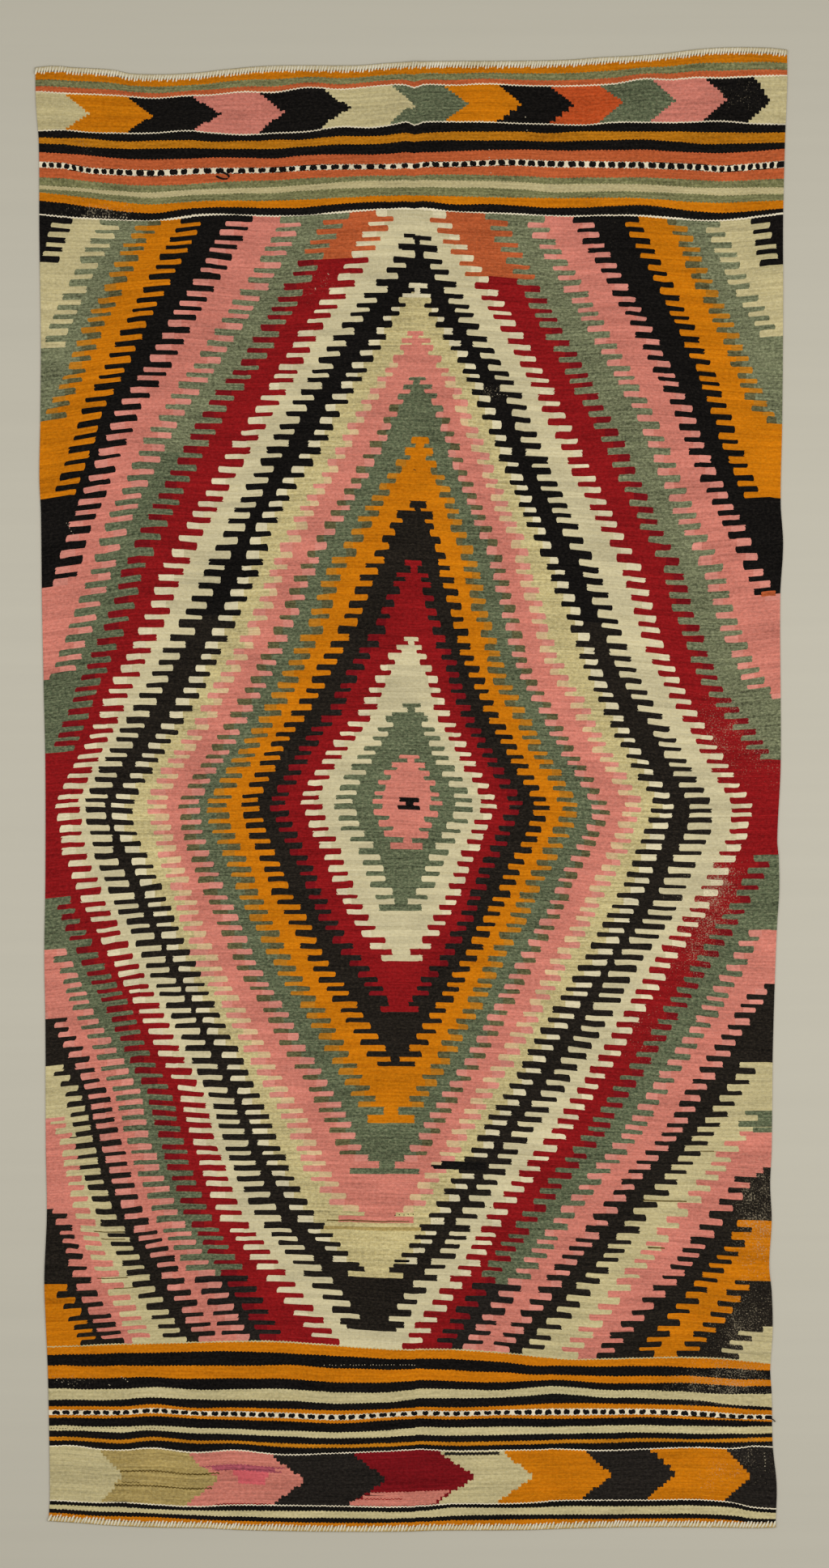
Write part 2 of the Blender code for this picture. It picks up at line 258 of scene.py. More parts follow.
# The diamonds round the middle, inmost first: dye, where its comb starts and ends, and (y, x) down
# its left edge and its right edge. The edges of the last two are the first of the outer ones.
AXIS = ((262, 516), (350, 516), (640, 513), (993, 504), (1300, 486), (1645, 467))  # y, x
BANDS = (
    ("pink", 943, 1035,
     ((935, 505), (945, 488), (957, 478), (972, 471), (993, 465), (1017, 475), (1043, 489)),
     ((935, 507), (945, 520), (960, 528), (972, 535), (995, 540), (1018, 526), (1045, 516))),
    ("green", 881, 1111,
     ((872, 508), (883, 488), (910, 469), (935, 452), (962, 435), (990, 424), (1025, 434),
      (1050, 454), (1093, 468), (1118, 480)),
     ((872, 512), (883, 520), (910, 534), (942, 548), (968, 565), (993, 575), (1005, 572),
      (1027, 558), (1056, 542), (1093, 528), (1120, 512))),
    ("bone", 798, 1175,
     ((789, 508), (800, 494), (813, 483), (845, 469), (880, 453), (905, 433), (929, 415),
      (957, 398), (984, 383), (1019, 392), (1043, 406), (1081, 419), (1101, 428), (1128, 441),
      (1158, 461), (1182, 478)),
     ((789, 510), (800, 518), (830, 530), (863, 541), (893, 552), (922, 568), (950, 583),
      (978, 599), (996, 604), (1040, 586), (1068, 573), (1104, 561), (1131, 546), (1161, 530),
      (1184, 514))),
    ("red", 708, 1237,
     ((693, 510), (713, 495), (744, 481), (780, 468), (807, 452), (838, 432), (876, 416),
      (901, 395), (935, 373), (965, 359), (991, 342), (1015, 350), (1040, 361), (1069, 377),
      (1105, 390), (1133, 404), (1167, 424), (1191, 443), (1218, 461), (1245, 477)),
     ((693, 514), (713, 524), (747, 531), (784, 542), (820, 556), (858, 566), (890, 579),
      (918, 594), (948, 612), (975, 627), (992, 638), (1034, 621), (1062, 606), (1094, 592),
      (1124, 581), (1154, 565), (1182, 551), (1206, 531), (1246, 511))),
    ("umber", 635, 1303,
     ((620, 514), (633, 497), (659, 481), (686, 468), (716, 453), (751, 440), (783, 424),
      (812, 408), (850, 389), (881, 370), (907, 351), (930, 338), (960, 324), (990, 307),
      (1035, 320), (1063, 333), (1100, 346), (1126, 363), (1171, 384), (1199, 400), (1226, 418),
      (1256, 438), (1283, 456), (1314, 475)),
     ((620, 518), (652, 532), (675, 543), (704, 550), (741, 560), (778, 569), (815, 579),
      (850, 595), (882, 607), (910, 624), (940, 640), (968, 656), (998, 671), (1032, 657),
      (1071, 636), (1102, 622), (1147, 599), (1175, 586), (1198, 571), (1227, 555), (1256, 538),
      (1287, 521), (1314, 504))),
    ("gold", 554, 1370,
     ((541, 517), (556, 508), (584, 487), (611, 471), (649, 448), (679, 432), (693, 421),
      (724, 406), (761, 395), (794, 380), (825, 365), (859, 348), (890, 330), (918, 312),
      (954, 290), (992, 268), (1016, 271), (1043, 283), (1071, 296), (1103, 307), (1134, 322),
      (1176, 343), (1204, 357), (1245, 386), (1287, 410), (1318, 429), (1349, 446), (1380, 465)),
     ((541, 520), (556, 526), (588, 541), (620, 555), (651, 564), (686, 578), (719, 585),
      (757, 594), (802, 608), (831, 614), (859, 629), (890, 646), (921, 661), (949, 679),
      (976, 694), (1001, 705), (1028, 693), (1055, 680), (1082, 665), (1110, 652), (1139, 638),
      (1166, 622), (1208, 602), (1250, 581), (1280, 561), (1310, 547), (1339, 528), (1384, 500))),
    ("green", 475, 1435,
     ((468, 514), (492, 494), (521, 480), (547, 467), (588, 445), (615, 430), (655, 406),
      (688, 386), (723, 371), (755, 360), (796, 341), (828, 326), (861, 309), (893, 291),
      (921, 276), (944, 261), (968, 246), (993, 233), (1030, 238), (1064, 250), (1094, 262),
      (1125, 276), (1155, 289), (1195, 306), (1230, 328), (1265, 348), (1293, 362), (1325, 384),
      (1357, 402), (1386, 417), (1417, 431), (1447, 450)),
     ((468, 518), (492, 536), (522, 550), (571, 565), (602, 577), (645, 594), (682, 611),
      (712, 618), (748, 626), (784, 636), (815, 642), (839, 653), (870, 671), (899, 685),
      (929, 702), (956, 720), (985, 736), (1003, 744), (1031, 730), (1059, 716), (1098, 695),
      (1131, 683), (1156, 667), (1184, 652), (1224, 631), (1266, 609), (1310, 585), (1355, 556),
      (1398, 532), (1438, 506))),
    ("pink", 418, 1497,
     ((411, 513), (437, 494), (463, 478), (487, 461), (516, 444), (553, 425), (577, 411),
      (605, 395), (645, 371), (700, 345), (750, 326), (795, 305), (820, 289), (855, 270),
      (892, 252), (950, 212), (993, 193), (1050, 206), (1110, 228), (1142, 238), (1176, 252),
      (1203, 264), (1250, 292), (1300, 318), (1350, 345), (1380, 364), (1413, 378), (1443, 390),
      (1475, 412), (1505, 440)),
     ((411, 518), (433, 533), (460, 550), (489, 566), (520, 577), (567, 596), (610, 613),
      (643, 627), (677, 643), (713, 649), (743, 660), (780, 669), (812, 680), (840, 695),
      (862, 710), (891, 725), (921, 740), (950, 758), (993, 783), (1041, 768), (1068, 755),
      (1103, 736), (1136, 722), (1162, 707), (1186, 692), (1228, 670), (1270, 647), (1312, 624),
      (1340, 604), (1385, 578), (1425, 555), (1466, 526), (1505, 503))),
    ("beige", 363, 1565,
     (*run(350, 513, 478, 448, 416, 390, 357, 327, 311, 289, 265, 240, 210, 177), (993, 151),
      (1020, 152), (1060, 172), (1125, 200), (1184, 226), (1256, 259), (1302, 286), (1354, 308),
      (1400, 327), (1443, 345), (1494, 372), (1521, 395), (1550, 420), (1572, 441)),
     ((350, 516), (380, 532), *run(400, 545, 577, 599, 620, 640, 662, 684, 704, 722, 742, 766, 794),
      (993, 821), (1094, 785), (1140, 760), (1168, 746), (1193, 731), (1290, 672), (1333, 648),
      (1379, 617), (1418, 595), (1458, 570), (1495, 545), (1525, 526), (1553, 506), (1575, 488))),
    ("black", 303, 1637, None, None),
    ("bone", 0, 0, None, None),
)
DIAMONDS = 9  # bands with edges of their own
# The bars of wefts that finish the diamonds above and below their combs: dye, (x, x, y, y).
BARS = (
    ("black", (499, 513, 289, 294), (510, 533, 292, 297), (512, 519, 293, 303),
     (492, 540, 302, 309)),
    ("ivory", (505, 528, 350, 356), (512, 519, 355, 364), (497, 532, 363, 368)),
    ("pink", (503, 523, 409, 415), (509, 517, 414, 419), (496, 532, 418, 424)),
    ("green", (505, 526, 466, 470), (510, 519, 469, 476), (498, 534, 475, 481)),
    ("gold", (508, 530, 540, 548), (513, 524, 547, 554), (500, 535, 553, 560)),
    ("umber", (506, 527, 619, 628), (512, 520, 627, 632), (490, 535, 631, 641)),
    ("red", (500, 521, 692, 699), (507, 516, 698, 709), (490, 529, 708, 713)),
    ("bone", (499, 517, 787, 792), (504, 512, 791, 798), (490, 521, 797, 803)),
    ("green", (497, 520, 869, 874), (503, 513, 873, 881), (484, 524, 880, 886)),
    ("pink", (493, 518, 933, 937), (503, 512, 936, 943), (484, 525, 942, 948),
     (498, 509, 1028, 1042), (482, 522, 1041, 1049)),
    ("green", (487, 504, 1104, 1118), (468, 521, 1117, 1125)),
    ("bone", (484, 507, 1168, 1181), (471, 522, 1180, 1187)),
    ("red", (480, 505, 1230, 1244), (470, 517, 1243, 1250)),
    ("umber", (482, 494, 1296, 1312), (466, 513, 1311, 1317)),
    ("gold", (474, 492, 1363, 1378), (454, 512, 1377, 1387)),
    ("green", (468, 488, 1428, 1444), (432, 518, 1443, 1450)),
    ("pink", (450, 489, 1490, 1503), (418, 511, 1502, 1510)),
    ("beige", (450, 481, 1558, 1572), (430, 498, 1571, 1578)),
    ("umber", (450, 476, 1628, 1636), (428, 490, 1635, 1643)),
    ("black", (493, 518, 985, 991), (501, 511, 991, 995), (491, 519, 995, 1000)),
)
# How far the comb fingers pass the middle of their edge: near the top, the middle and the foot of
# the field, for each edge from the inmost outwards. The last holds for all edges beyond it.
REACH_HEIGHTS = (400, FIELD_MIDDLE, 1500)
LEFT_REACH = (
    (6, 8, 10), (7, 12, 12.5), (8.5, 11.5, 13), (8, 9.5, 10.5), (8.5, 11, 15), (9, 13, 13.5),
    (8, 13, 15.5), (8, 12.5, 15), (11, 12.5, 13), (10.5, 13, 15), (13.5, 14, 15), (14, 14.5, 15),
    (15, 15, 15), (15.5, 14, 13), (15, 14, 12.5), (13, 14, 13), (13, 14, 13), (12, 14, 13),
)
RIGHT_REACH = (
    (6, 7.5, 7), (6.5, 11, 8.5), (6.5, 9.5, 9), (6, 8.5, 8.5), (6.5, 9, 10), (8, 11, 10.5),
    (8, 10, 12.5), (8.5, 11, 12), (9.5, 11, 12.5), (11, 12, 11.5), (12.5, 12, 11.5),
    (12.5, 12, 11.5), (12.5, 12, 11.5), (12, 12, 11.5), (11, 12, 11.5), (12, 12, 11.5),
)
TIP_REACH, TIP_LENGTH = 0.6, 200  # a diamond's first fingers: share of the reach, and how long
LONG_EDGES = (8, 9)  # right edges whose fingers grow longer below the middle
LONG_AT, LONG_OVER, LONGER_BY = 1130, 170, 4.5
SELVEDGE_REACH, SELVEDGE_FROM, SELVEDGE_LENGTH = 0.55, 57, 180  # lower left, by the selvedge
# Fingers that took on the dye beside them: the inner band's and the outer band's at that edge.
TIPS = {
    2: ("ivory", None), 3: ("crimson", "charcoal"), 5: ("ochre", "moss"), 6: ("moss", "rose"),
    7: ("rose", "peach"), 8: ("ivory", None), 10: ("ivory", None),
    11: ("crimson", None), 12: (None, "rose"), 13: ("rose", None), 15: ("ochre", "moss"),
}
LEAST_TIP = 6.5  # fingers shorter than this keep their dye

# The bands outside the diamonds, and their edges down to the selvedge or the border: black to
# cream, then cream to red and so on outwards.
UPPER_OUTER = ("red", "willow", "pink", "black", "gold", "willow", "cream", "black")
LOWER_OUTER = (
    "red", "green", "pink", "black", "cream", "pink", "black", "gold", "black", "cream",
)
LEFT_UPPER = (
    ((262, 535), (300, 512), (320, 497), (340, 482), (370, 457), (400, 435), (430, 414), (457, 398),
     (480, 386), *run(500, 371, 344, 317, 291, 267, 244, 216, 190, 163, 135), (993, 116)),
    ((262, 478), *run(300, 455, 426, 389, 361, 331, 301, 272, 243, 216, 198, 176, 149, 129, 101),
     (993, 83)),
    ((262, 420), *run(300, 397, 368, 339, 310, 270, 243, 217, 191, 166, 151, 131, 108, 90),
     (929, 77), (934, 28), (993, 0)),
    ((262, 366), *run(300, 346, 319, 286, 255, 220, 190, 167, 144, 128, 109, 90), (838, 76),
     (845, 28), (993, 0)),
    ((262, 303), *run(300, 281, 254, 222, 198, 162, 141, 121, 100, 85), (725, 77), (731, 28),
     (993, 0)),
    ((262, 243), *run(300, 222, 195, 168, 145, 117, 101, 83), (612, 78), (616, 28), (993, 0)),
    ((262, 195), *run(300, 168, 144, 117, 98, 74), (521, 66), (525, 28), (993, 0)),
    ((262, 145), (300, 123), (350, 97), (400, 76), (432, 66), (436, 28), (993, 0)),
    ((262, 80), (300, 69), (325, 61), (329, 28), (993, 0)),
)
LEFT_LOWER = (
    ((993, 116), (1050, 128), (1120, 157), *run(1150, 176, 197, 224, 246), (1370, 279), *run(1400,
     287, 306, 329, 370, 411), (1645, 444)),
    ((993, 83), (1050, 91), (1120, 119), *run(1150, 134, 160, 187, 210, 236, 249, 266, 284, 322,
     361), (1660, 408)),
    ((993, 0), (1102, 28), (1108, 76), (1120, 81), *run(1150, 94, 120, 149, 170, 197, 210, 224, 244,
     275, 306), (1660, 340)),
    ((993, 0), (1168, 28), (1174, 72), (1190, 79), *run(1200, 84, 104, 131, 158, 168, 186, 206, 236,
     267), (1660, 296)),
    ((993, 0), (1251, 28), (1256, 74), (1272, 77), *run(1300, 95, 121, 135, 149, 166, 200, 226),
     (1660, 261)),
    ((993, 0), (1314, 28), (1319, 70), (1340, 84), *run(1350, 90, 103, 114, 131, 158, 184),
     (1660, 221)),
    ((993, 0), (1379, 28), (1384, 70), (1400, 79), (1420, 85), *run(1450, 91, 103, 121, 148),
     (1660, 177)),
    ((993, 0), (1489, 28), (1494, 72), (1550, 92), (1600, 110), (1660, 144)),
    ((993, 0), (1584, 28), (1588, 74), (1600, 80), (1660, 112)),
)
RIGHT_UPPER = (
    ((262, 497), (300, 524), (322, 536), (345, 550), (365, 562), (400, 580), (430, 598), (450, 611),
     (480, 629), (500, 639), (530, 649), (560, 661), *run(600, 678, 702, 728, 746, 763, 784, 816,
     841), (993, 866)),
    ((262, 536), (300, 561), (325, 578), *run(350, 595, 626, 654, 680, 703, 727, 752, 779, 794, 809,
     832, 862, 889), (993, 916)),
    ((262, 608), *run(300, 626, 652, 678, 706, 732, 759, 781, 803, 831, 842, 860, 880, 920),
     (933, 940), (940, 985), (993, 1020)),
    ((262, 655), *run(300, 675, 705, 735, 762, 791, 812, 832, 852, 880, 894, 911, 936), (856, 940),
     (862, 985), (993, 1020)),
    ((262, 713), *run(300, 733, 762, 790, 815, 841, 858, 881, 907, 929), (738, 945), (745, 985),
     (993, 1020)),
    ((262, 775), *run(300, 793, 820, 845, 868, 887, 903, 924), (616, 931), (622, 985), (993, 1020)),
    ((262, 828), *run(300, 848, 868, 895, 915, 936), (517, 948), (524, 985), (993, 1020)),
    ((262, 870), (300, 891), (350, 913), (400, 943), (418, 952), (423, 985), (993, 1020)),
    ((262, 936), (300, 944), (330, 952), (335, 985), (993, 1020)),
)
RIGHT_LOWER = (
    ((993, 866), (1030, 862), (1072, 842), (1125, 818), (1190, 775), (1220, 759), *run(1250, 743,
     713, 680, 644, 611, 579, 552, 510), (1645, 481)),
    ((993, 916), (1030, 912), (1072, 890), (1125, 862), (1190, 818), (1220, 801), *run(1250, 783,
     755, 723, 690, 651, 614, 588, 551), (1670, 501)),
    ((993, 1020), (1050, 985), (1055, 945), (1072, 937), (1125, 908), (1190, 868), *run(1250, 830,
     800, 765, 735, 695, 657, 622, 587), (1670, 541)),
    ((993, 1020), (1149, 985), (1153, 930), (1190, 912), *run(1250, 876, 844, 811, 781, 740, 700,
     664, 627), (1670, 577)),
    ((993, 1020), (1215, 985), (1220, 936), (1235, 931), *run(1250, 921, 890, 858, 829, 785, 747,
     709, 671), (1670, 614)),
    ((993, 1020), (1307, 985), (1311, 928), (1330, 920), *run(1350, 905, 871, 835, 790, 757, 715),
     (1670, 655)),
    ((993, 1020), (1397, 985), (1401, 912), *run(1450, 881, 838, 800, 760), (1670, 704)),
    ((993, 1020), (1443, 985), (1447, 924), (1475, 907), (1500, 887), (1550, 852), (1600, 809),
     (1670, 747)),
    ((993, 1020), (1500, 985), (1505, 924), (1530, 913), (1550, 900), (1600, 857), (1670, 797)),
    ((993, 1020), (1575, 985), (1579, 922), (1600, 905), (1630, 884), (1670, 848)),
    ((993, 1020), (1637, 985), (1641, 927), (1670, 902)),
)
OUTER_DYES = (UPPER_OUTER, LOWER_OUTER)
OUTER_EDGES = ((LEFT_UPPER, LEFT_LOWER), (RIGHT_UPPER, RIGHT_LOWER))
FINGER_PITCH = (
    # y, height of a finger and the gap under it
    (262, 13.2), (400, 13.3), (560, 14.2), (640, 15.2), (800, 15.4), (900, 13.4), (1000, 13.0),
    (1150, 13.6), (1400, 13.2), (1665, 12.9),
)
TIP_ROUNDING = 1.2
CORAL_ABOVE = (322, 340)  # chart heights where a band changes its dye, here left and right
GREENER_BELOW = 560
BROWNER_BELOW = 760
CHARCOAL_BELOW = 1583
RED_BAND, NEXT_BAND = 11, 12

# Stripes of the upper border from its end inwards: dye, lower edge.
UPPER_STRIPES = (
    ("gold", 91.8), ("sage", 99.4), ("coral", 105.0), ("white", 106.4), ("arrows", 151.2),
    ("white", 152.6), ("black", 164.0), ("mustard", 174.5), ("black", 187.0), ("coral", 200.0),
    ("dots", 207.0), ("coral", 217.0), ("sage", 223.0), ("cream", 232.6), ("sage", 242.4),
    ("gold", 250.6), ("black", 258.7), ("white", FIELD_TOP),
)
# Stripes of the lower border from the field outwards.
LOWER_STRIPES = (
    ("cream", 1666.4), ("gold", 1677.0), ("black", 1692.0), ("gold", 1705.0), ("black", 1716.0),
    ("cream", 1727.0),
    ("black", 1738.0), ("gold", 1742.2), ("dots", 1748.4), ("gold", 1752.0), ("black", 1763.0),
    ("cream", 1773.0), ("black", 1781.2), ("mustard", 1785.2), ("black", 1793.0),
    ("white", 1794.2), ("arrows", 1858.2), ("white", 1859.4), ("black", 1865.1),
    ("cream", 1873.8), ("black", 1880.4), ("gold", CLOTH_BOTTOM),
)
# Arrows: dye, its tip, its upper and lower tail corner on the right. The last runs to the selvedge.
UPPER_ARROWS = (
    ("cream", 111, 82, 82), ("gold", 189, 156, 154), ("black", 274, 235, 236),
    ("pink", 352, 318, 316), ("black", 434, 398, 394), ("cream", 513, 481, 478),
    ("green", 579, 550, 551), ("gold", 644, 617, 614), ("black", 709, 678, 679),
    ("rust", 769, 738, 737), ("green", 835, 804, 801), ("pink", 898, 873, 870),
    ("black", 951, 932, 925), ("cream", 1100, 1100, 1100),
)
LOWER_ARROWS = (
    ("cream", 152, 124, 126), ("khaki", 271, 230, 228), ("pink", 377, 334, 335),
    ("charcoal", 478, 433, 430), ("crimson", 588, 541, 538), ("cream", 660, 619, 612),
    ("gold", 757, 720, 716), ("charcoal", 836, 804, 796), ("gold", 928, 894, 892),
    ("charcoal", 1100, 1100, 1100),
)
ARROW_STEP = 4.0  # squares from one step of an arrow's flank to the next
ARROW_POINT = 0.93  # share of an arrow's reach where its steps end
# Dots: x, pitch.
UPPER_DOTS = ((50, 8.6), (140, 9.6), (158, 13.5), (240, 14.4), (340, 12), (440, 15.5),
              (560, 11.4), (760, 12.8), (830, 11.5), (900, 8.8), (966, 9.6))  # x, pitch
LOWER_DOTS = ((50, 12.6), (300, 12), (480, 13), (600, 13), (720, 10.8), (800, 13), (960, 9.8))
DOTS_FROM, DOTS_TO = 52.0, 962
DOT_GROUND = "white"

# Odd wefts and patches, which overrule what is under them: dye, (x, x, middle y, height).
STRAYS = (
    ("olive", (150, 271, 1818.5, 1.6), (151, 172, 1831, 1.2), (142, 262, 1836, 1.4)),
    ("purple", (250, 352, 1809.5, 1.6), (262, 340, 1812.5, 3.6), (266, 348, 1815.5, 1.6)),
    ("blush", (288, 332, 1820, 6), (294, 328, 1828, 9)),
    ("pink", (457, 555, 1844.5, 4), (448, 549, 1848.5, 4), (440, 544, 1852.5, 4),
     (432, 539, 1857, 5)),
    ("charcoal", (549, 617, 1795.5, 3.6)),
    ("olive", (404, 505, 1508, 1.4)),
    ("khaki", (400, 520, 1517.5, 4.5)),
    ("black", (545, 600, 1437, 5.6), (535, 600, 1442, 4.2), (487, 506, 1557.5, 2.6)),
    ("olive", (116, 152, 1521.5, 1.4), (125, 155, 1530.5, 1.2), (120, 158, 1578.5, 1.1),
     (141, 168, 1591, 1.1)),
    ("black", (86, 96, 1405, 1.5)),
    ("olive", (865, 882, 1422, 1.4), (795, 848, 1483, 1.4), (800, 821, 1541, 1.4)),
    ("red", (265, 335, 1857.2, 1.2), (440, 497, 1852, 1)),
    ("coral", (940, 958, 733.5, 6)),
    ("green", (920, 985, 1374.5, 5.5), (936, 985, 1380.5, 7), (912, 985, 1388, 8),
     (930, 985, 1395.5, 7)),
    ("rose", (40, 80, 1383.5, 5)),
)
LEAST_SPLIT = 0.45  # a row isn't split nearer to its edge than this
REACHES_OVER = 0.46  # a stray takes rows that pass its edges by less than this

DYES = {
    # dye: colour, darker streaks, lighter flecks (sRGB), streaks, flecks and heather (shares)
    "cream": ((187, 174, 129), (167, 152, 102), (204, 194, 156), 0.45, 0.35, 0.17),
    "bone": ((198, 187, 149), (178, 163, 118), (210, 201, 168), 0.40, 0.35, 0.12),
    "beige": ((189, 175, 124), (162, 144, 91), (207, 195, 152), 0.60, 0.45, 0.24),
    "ivory": ((209, 198, 163), (190, 176, 134), (218, 210, 180), 0.35, 0.35, 0.12),
    "peach": ((201, 172, 130), (186, 152, 106), (213, 190, 154), 0.35, 0.35, 0.14),
    "khaki": ((166, 144, 88), (140, 118, 60), (188, 170, 116), 0.65, 0.40, 0.26),
    "white": ((222, 210, 182), (196, 178, 140), (232, 224, 202), 0.30, 0.40, 0.10),
    "pink": ((198, 119, 103), (178, 98, 82), (213, 143, 128), 0.50, 0.35, 0.20),
    "rose": ((203, 130, 115), (184, 108, 92), (214, 150, 135), 0.35, 0.35, 0.16),
    "coral": ((176, 86, 46), (154, 66, 30), (196, 110, 70), 0.50, 0.40, 0.24),
    "rust": ((183, 75, 32), (160, 56, 20), (200, 100, 56), 0.50, 0.40, 0.22),
    "gold": ((194, 113, 8), (170, 88, 3), (208, 134, 30), 0.50, 0.35, 0.18),
    "ochre": ((178, 114, 26), (150, 88, 14), (194, 136, 54), 0.45, 0.35, 0.18),
    "mustard": ((180, 112, 14), (150, 84, 4), (200, 138, 44), 0.50, 0.45, 0.24),
    "green": ((86, 94, 69), (54, 64, 46), (126, 128, 98), 0.50, 0.70, 0.46),
    "willow": ((104, 107, 79), (74, 82, 58), (142, 144, 112), 0.50, 0.70, 0.46),
    "moss": ((86, 83, 54), (58, 56, 34), (120, 114, 80), 0.45, 0.60, 0.40),
    "sage": ((112, 111, 72), (86, 88, 54), (146, 142, 104), 0.50, 0.60, 0.40),
    "red": ((133, 20, 22), (108, 10, 13), (152, 42, 42), 0.50, 0.30, 0.26),
    "crimson": ((116, 16, 22), (92, 8, 12), (134, 36, 40), 0.45, 0.30, 0.24),
    "black": ((15, 13, 12), (8, 7, 6), (48, 43, 37), 0.40, 0.30, 0.40),
    "umber": ((28, 24, 20), (15, 13, 11), (62, 54, 43), 0.50, 0.40, 0.40),
    "charcoal": ((31, 27, 24), (18, 16, 14), (62, 56, 48), 0.50, 0.35, 0.40),
    "olive": ((74, 58, 22), (40, 30, 12), (120, 100, 50), 0.30, 0.70, 0.20),
    "purple": ((172, 84, 96), (104, 34, 56), (196, 108, 110), 0.70, 0.30, 0.30),
    "blush": ((208, 96, 100), (190, 76, 82), (218, 118, 120), 0.40, 0.30, 0.16),
}
NAMES = list(DYES)

# Where the wool is worn to its pale warp: x, y, half width, half height, how much.
WORN = (
    (895, 905, 40, 60, 0.5), (945, 945, 20, 40, 0.35), (893, 1085, 24, 50, 0.55),
    (862, 1150, 46, 95, 0.5), (800, 1290, 40, 70, 0.28), (935, 1500, 34, 90, 0.55),
    (920, 1650, 50, 60, 0.5), (880, 1715, 80, 30, 0.5), (930, 1800, 34, 40, 0.35),
    (880, 1822, 22, 34, 0.3), (125, 262, 45, 14, 0.55), (108, 175, 26, 22, 0.25),
    (910, 118, 36, 24, 0.3), (390, 355, 30, 30, 0.25), (610, 485, 14, 12, 0.6),
    (90, 1706, 40, 8, 0.45), (455, 1685, 60, 5, 0.6), (220, 720, 120, 200, 0.05),
    (700, 330, 200, 120, 0.05), (760, 230, 220, 60, 0.1),
)
# Lighter and darker places: x, y, half width, half height, how much.
SHADES = (
    (410, 530, 36, 34, -0.06), (280, 715, 70, 28, -0.08), (245, 900, 22, 110, -0.08),
    (470, 1545, 60, 30, 0.03), (70, 570, 40, 80, -0.06), (80, 1630, 50, 40, -0.07),
    (70, 870, 40, 60, -0.08), (945, 450, 40, 60, 0.12), (650, 320, 60, 60, 0.1),
)


# ---------------------------------------------------------------- reading the tables
def read(table, place):
    """A table's second column at a place between its rows, along a smooth curve."""
    rows = len(table)
    after = next((i for i in range(1, rows) if table[i][0] >= place), rows - 1)
    before = after - 1
    (x0, y0), (x1, y1) = table[before], table[after]

    def slope(i):
        low, high = table[max(i - 1, 0)], table[min(i + 1, rows - 1)]
        return (high[1] - low[1]) / (high[0] - low[0])

    t = min(max((place - x0) / (x1 - x0), 0.0), 1.0)
    step = x1 - x0
    return (
        (1 + 2 * t) * (1 - t) ** 2 * y0
        + t * (1 - t) ** 2 * step * slope(before)
        + t * t * (3 - 2 * t) * y1
        + t * t * (t - 1) * step * slope(after)
    )


def straight(table, place):
    """A table's second column at a place between its rows, along straight lines."""
    return float(np.interp(place, [row[0] for row in table], [row[1] for row in table]))


def left_edge(along):
    return -WIDTH / 2 - read(LEFT_SELVEDGE, along) / 1000


def right_edge(along):
    return WIDTH / 2 + read(RIGHT_SELVEDGE, along) / 1000


def bottom_line(across):
    return -LENGTH / 2 - read(BOTTOM_END, across) / 1000


def top_line(across):
    return LENGTH / 2 + read(TOP_END, across) / 1000


def rise(x, y):
    """How high the cloth lifts off the floor."""
    grown = min(max((y - CREASE_START) / CREASE_FADE, 0.0), 1.0)
    grown = grown * grown * (3 - 2 * grown)
    lift = CREASE_RISE * grown * exp(-(((x - CREASE_X) / CREASE_HALF_WIDTH) ** 2))
    for slack_x, slack_y, half_width, half_length, height in SLACK:
        away = ((x - slack_x) / half_width) ** 2 + ((y - slack_y) / half_length) ** 2
        if away < 20:
            lift += height * exp(-away)
    return max(lift - FLAT_BELOW, 0.0)


def stain(patches, x, y):
    """How strongly the soft-edged patches of a table act at a place."""
    total = 0.0
    for middle_x, middle_y, half_width, half_height, amount in patches:
        away = ((x - middle_x) / half_width) ** 2 + ((y - middle_y) / half_height) ** 2
        if away < 4:
            total += amount * exp(-1.2 * away)
    return total


def chart_x(x):
    return x / SQUARE + MIDDLE_X


def chart_y(y):
    return MIDDLE_Y - y / SQUARE


def in_metres(x, y):
    return (x - MIDDLE_X) * SQUARE, (MIDDLE_Y - y) * SQUARE


def side_table(share, edge):
    """A selvedge as chart x at every chart height."""
    low, high = bottom_line(share) + END_INSET, top_line(share) - END_INSET
    alongs = [((MIDDLE_Y - h) * SQUARE - low) / (high - low) for h in HEIGHTS]
    return np.array([chart_x(edge(min(max(a, 0.0), 1.0))) for a in alongs])


LEFT_SIDE, RIGHT_SIDE = side_table(0.0, left_edge), side_table(1.0, right_edge)


def left_side(y):
    return float(np.interp(y, HEIGHTS, LEFT_SIDE))


def right_side(y):
    return float(np.interp(y, HEIGHTS, RIGHT_SIDE))


def guides():
    """The chart height, at every column, of each line whose wave is known."""
    known = {}

    def wave(table):
        return np.array([read(table, min(max(x, table[0][0]), table[-1][0])) for x in SPAN])

    for middle, row, line, inset in (
        (CLOTH_TOP, TOP_ROW, top_line, -END_INSET),
        (CLOTH_BOTTOM, BOTTOM_ROW, bottom_line, END_INSET),
    ):
        shares = (SPAN - left_side(row)) / (right_side(row) - left_side(row))
        known[middle] = np.array([chart_y(line(s) + inset) for s in np.clip(shares, 0.0, 1.0)])
    for lines, waves in ((TOP_LINES, TOP_WAVES), (BOTTOM_LINES, BOTTOM_WAVES)):
        for i, height in enumerate(lines):
            known[height] = wave([(row[0], row[i + 1]) for row in waves])
    for height, *offsets in FIELD_WAVES:
        known[height] = height + wave(list(zip(FIELD_COLUMNS, offsets)))
    return sorted(known.items())


GUIDES = guides()
GUIDE_HEIGHTS = [height for height, _ in GUIDES]


def weft_line(height):
    """The chart height, at every column, of the weft line that has this height at the middle."""
    after = min(max(bisect_left(GUIDE_HEIGHTS, height), 1), len(GUIDES) - 1)
    (low, above), (high, below) = GUIDES[after - 1], GUIDES[after]
    share = (height - low) / (high - low)
    return above * (1 - share) + below * share


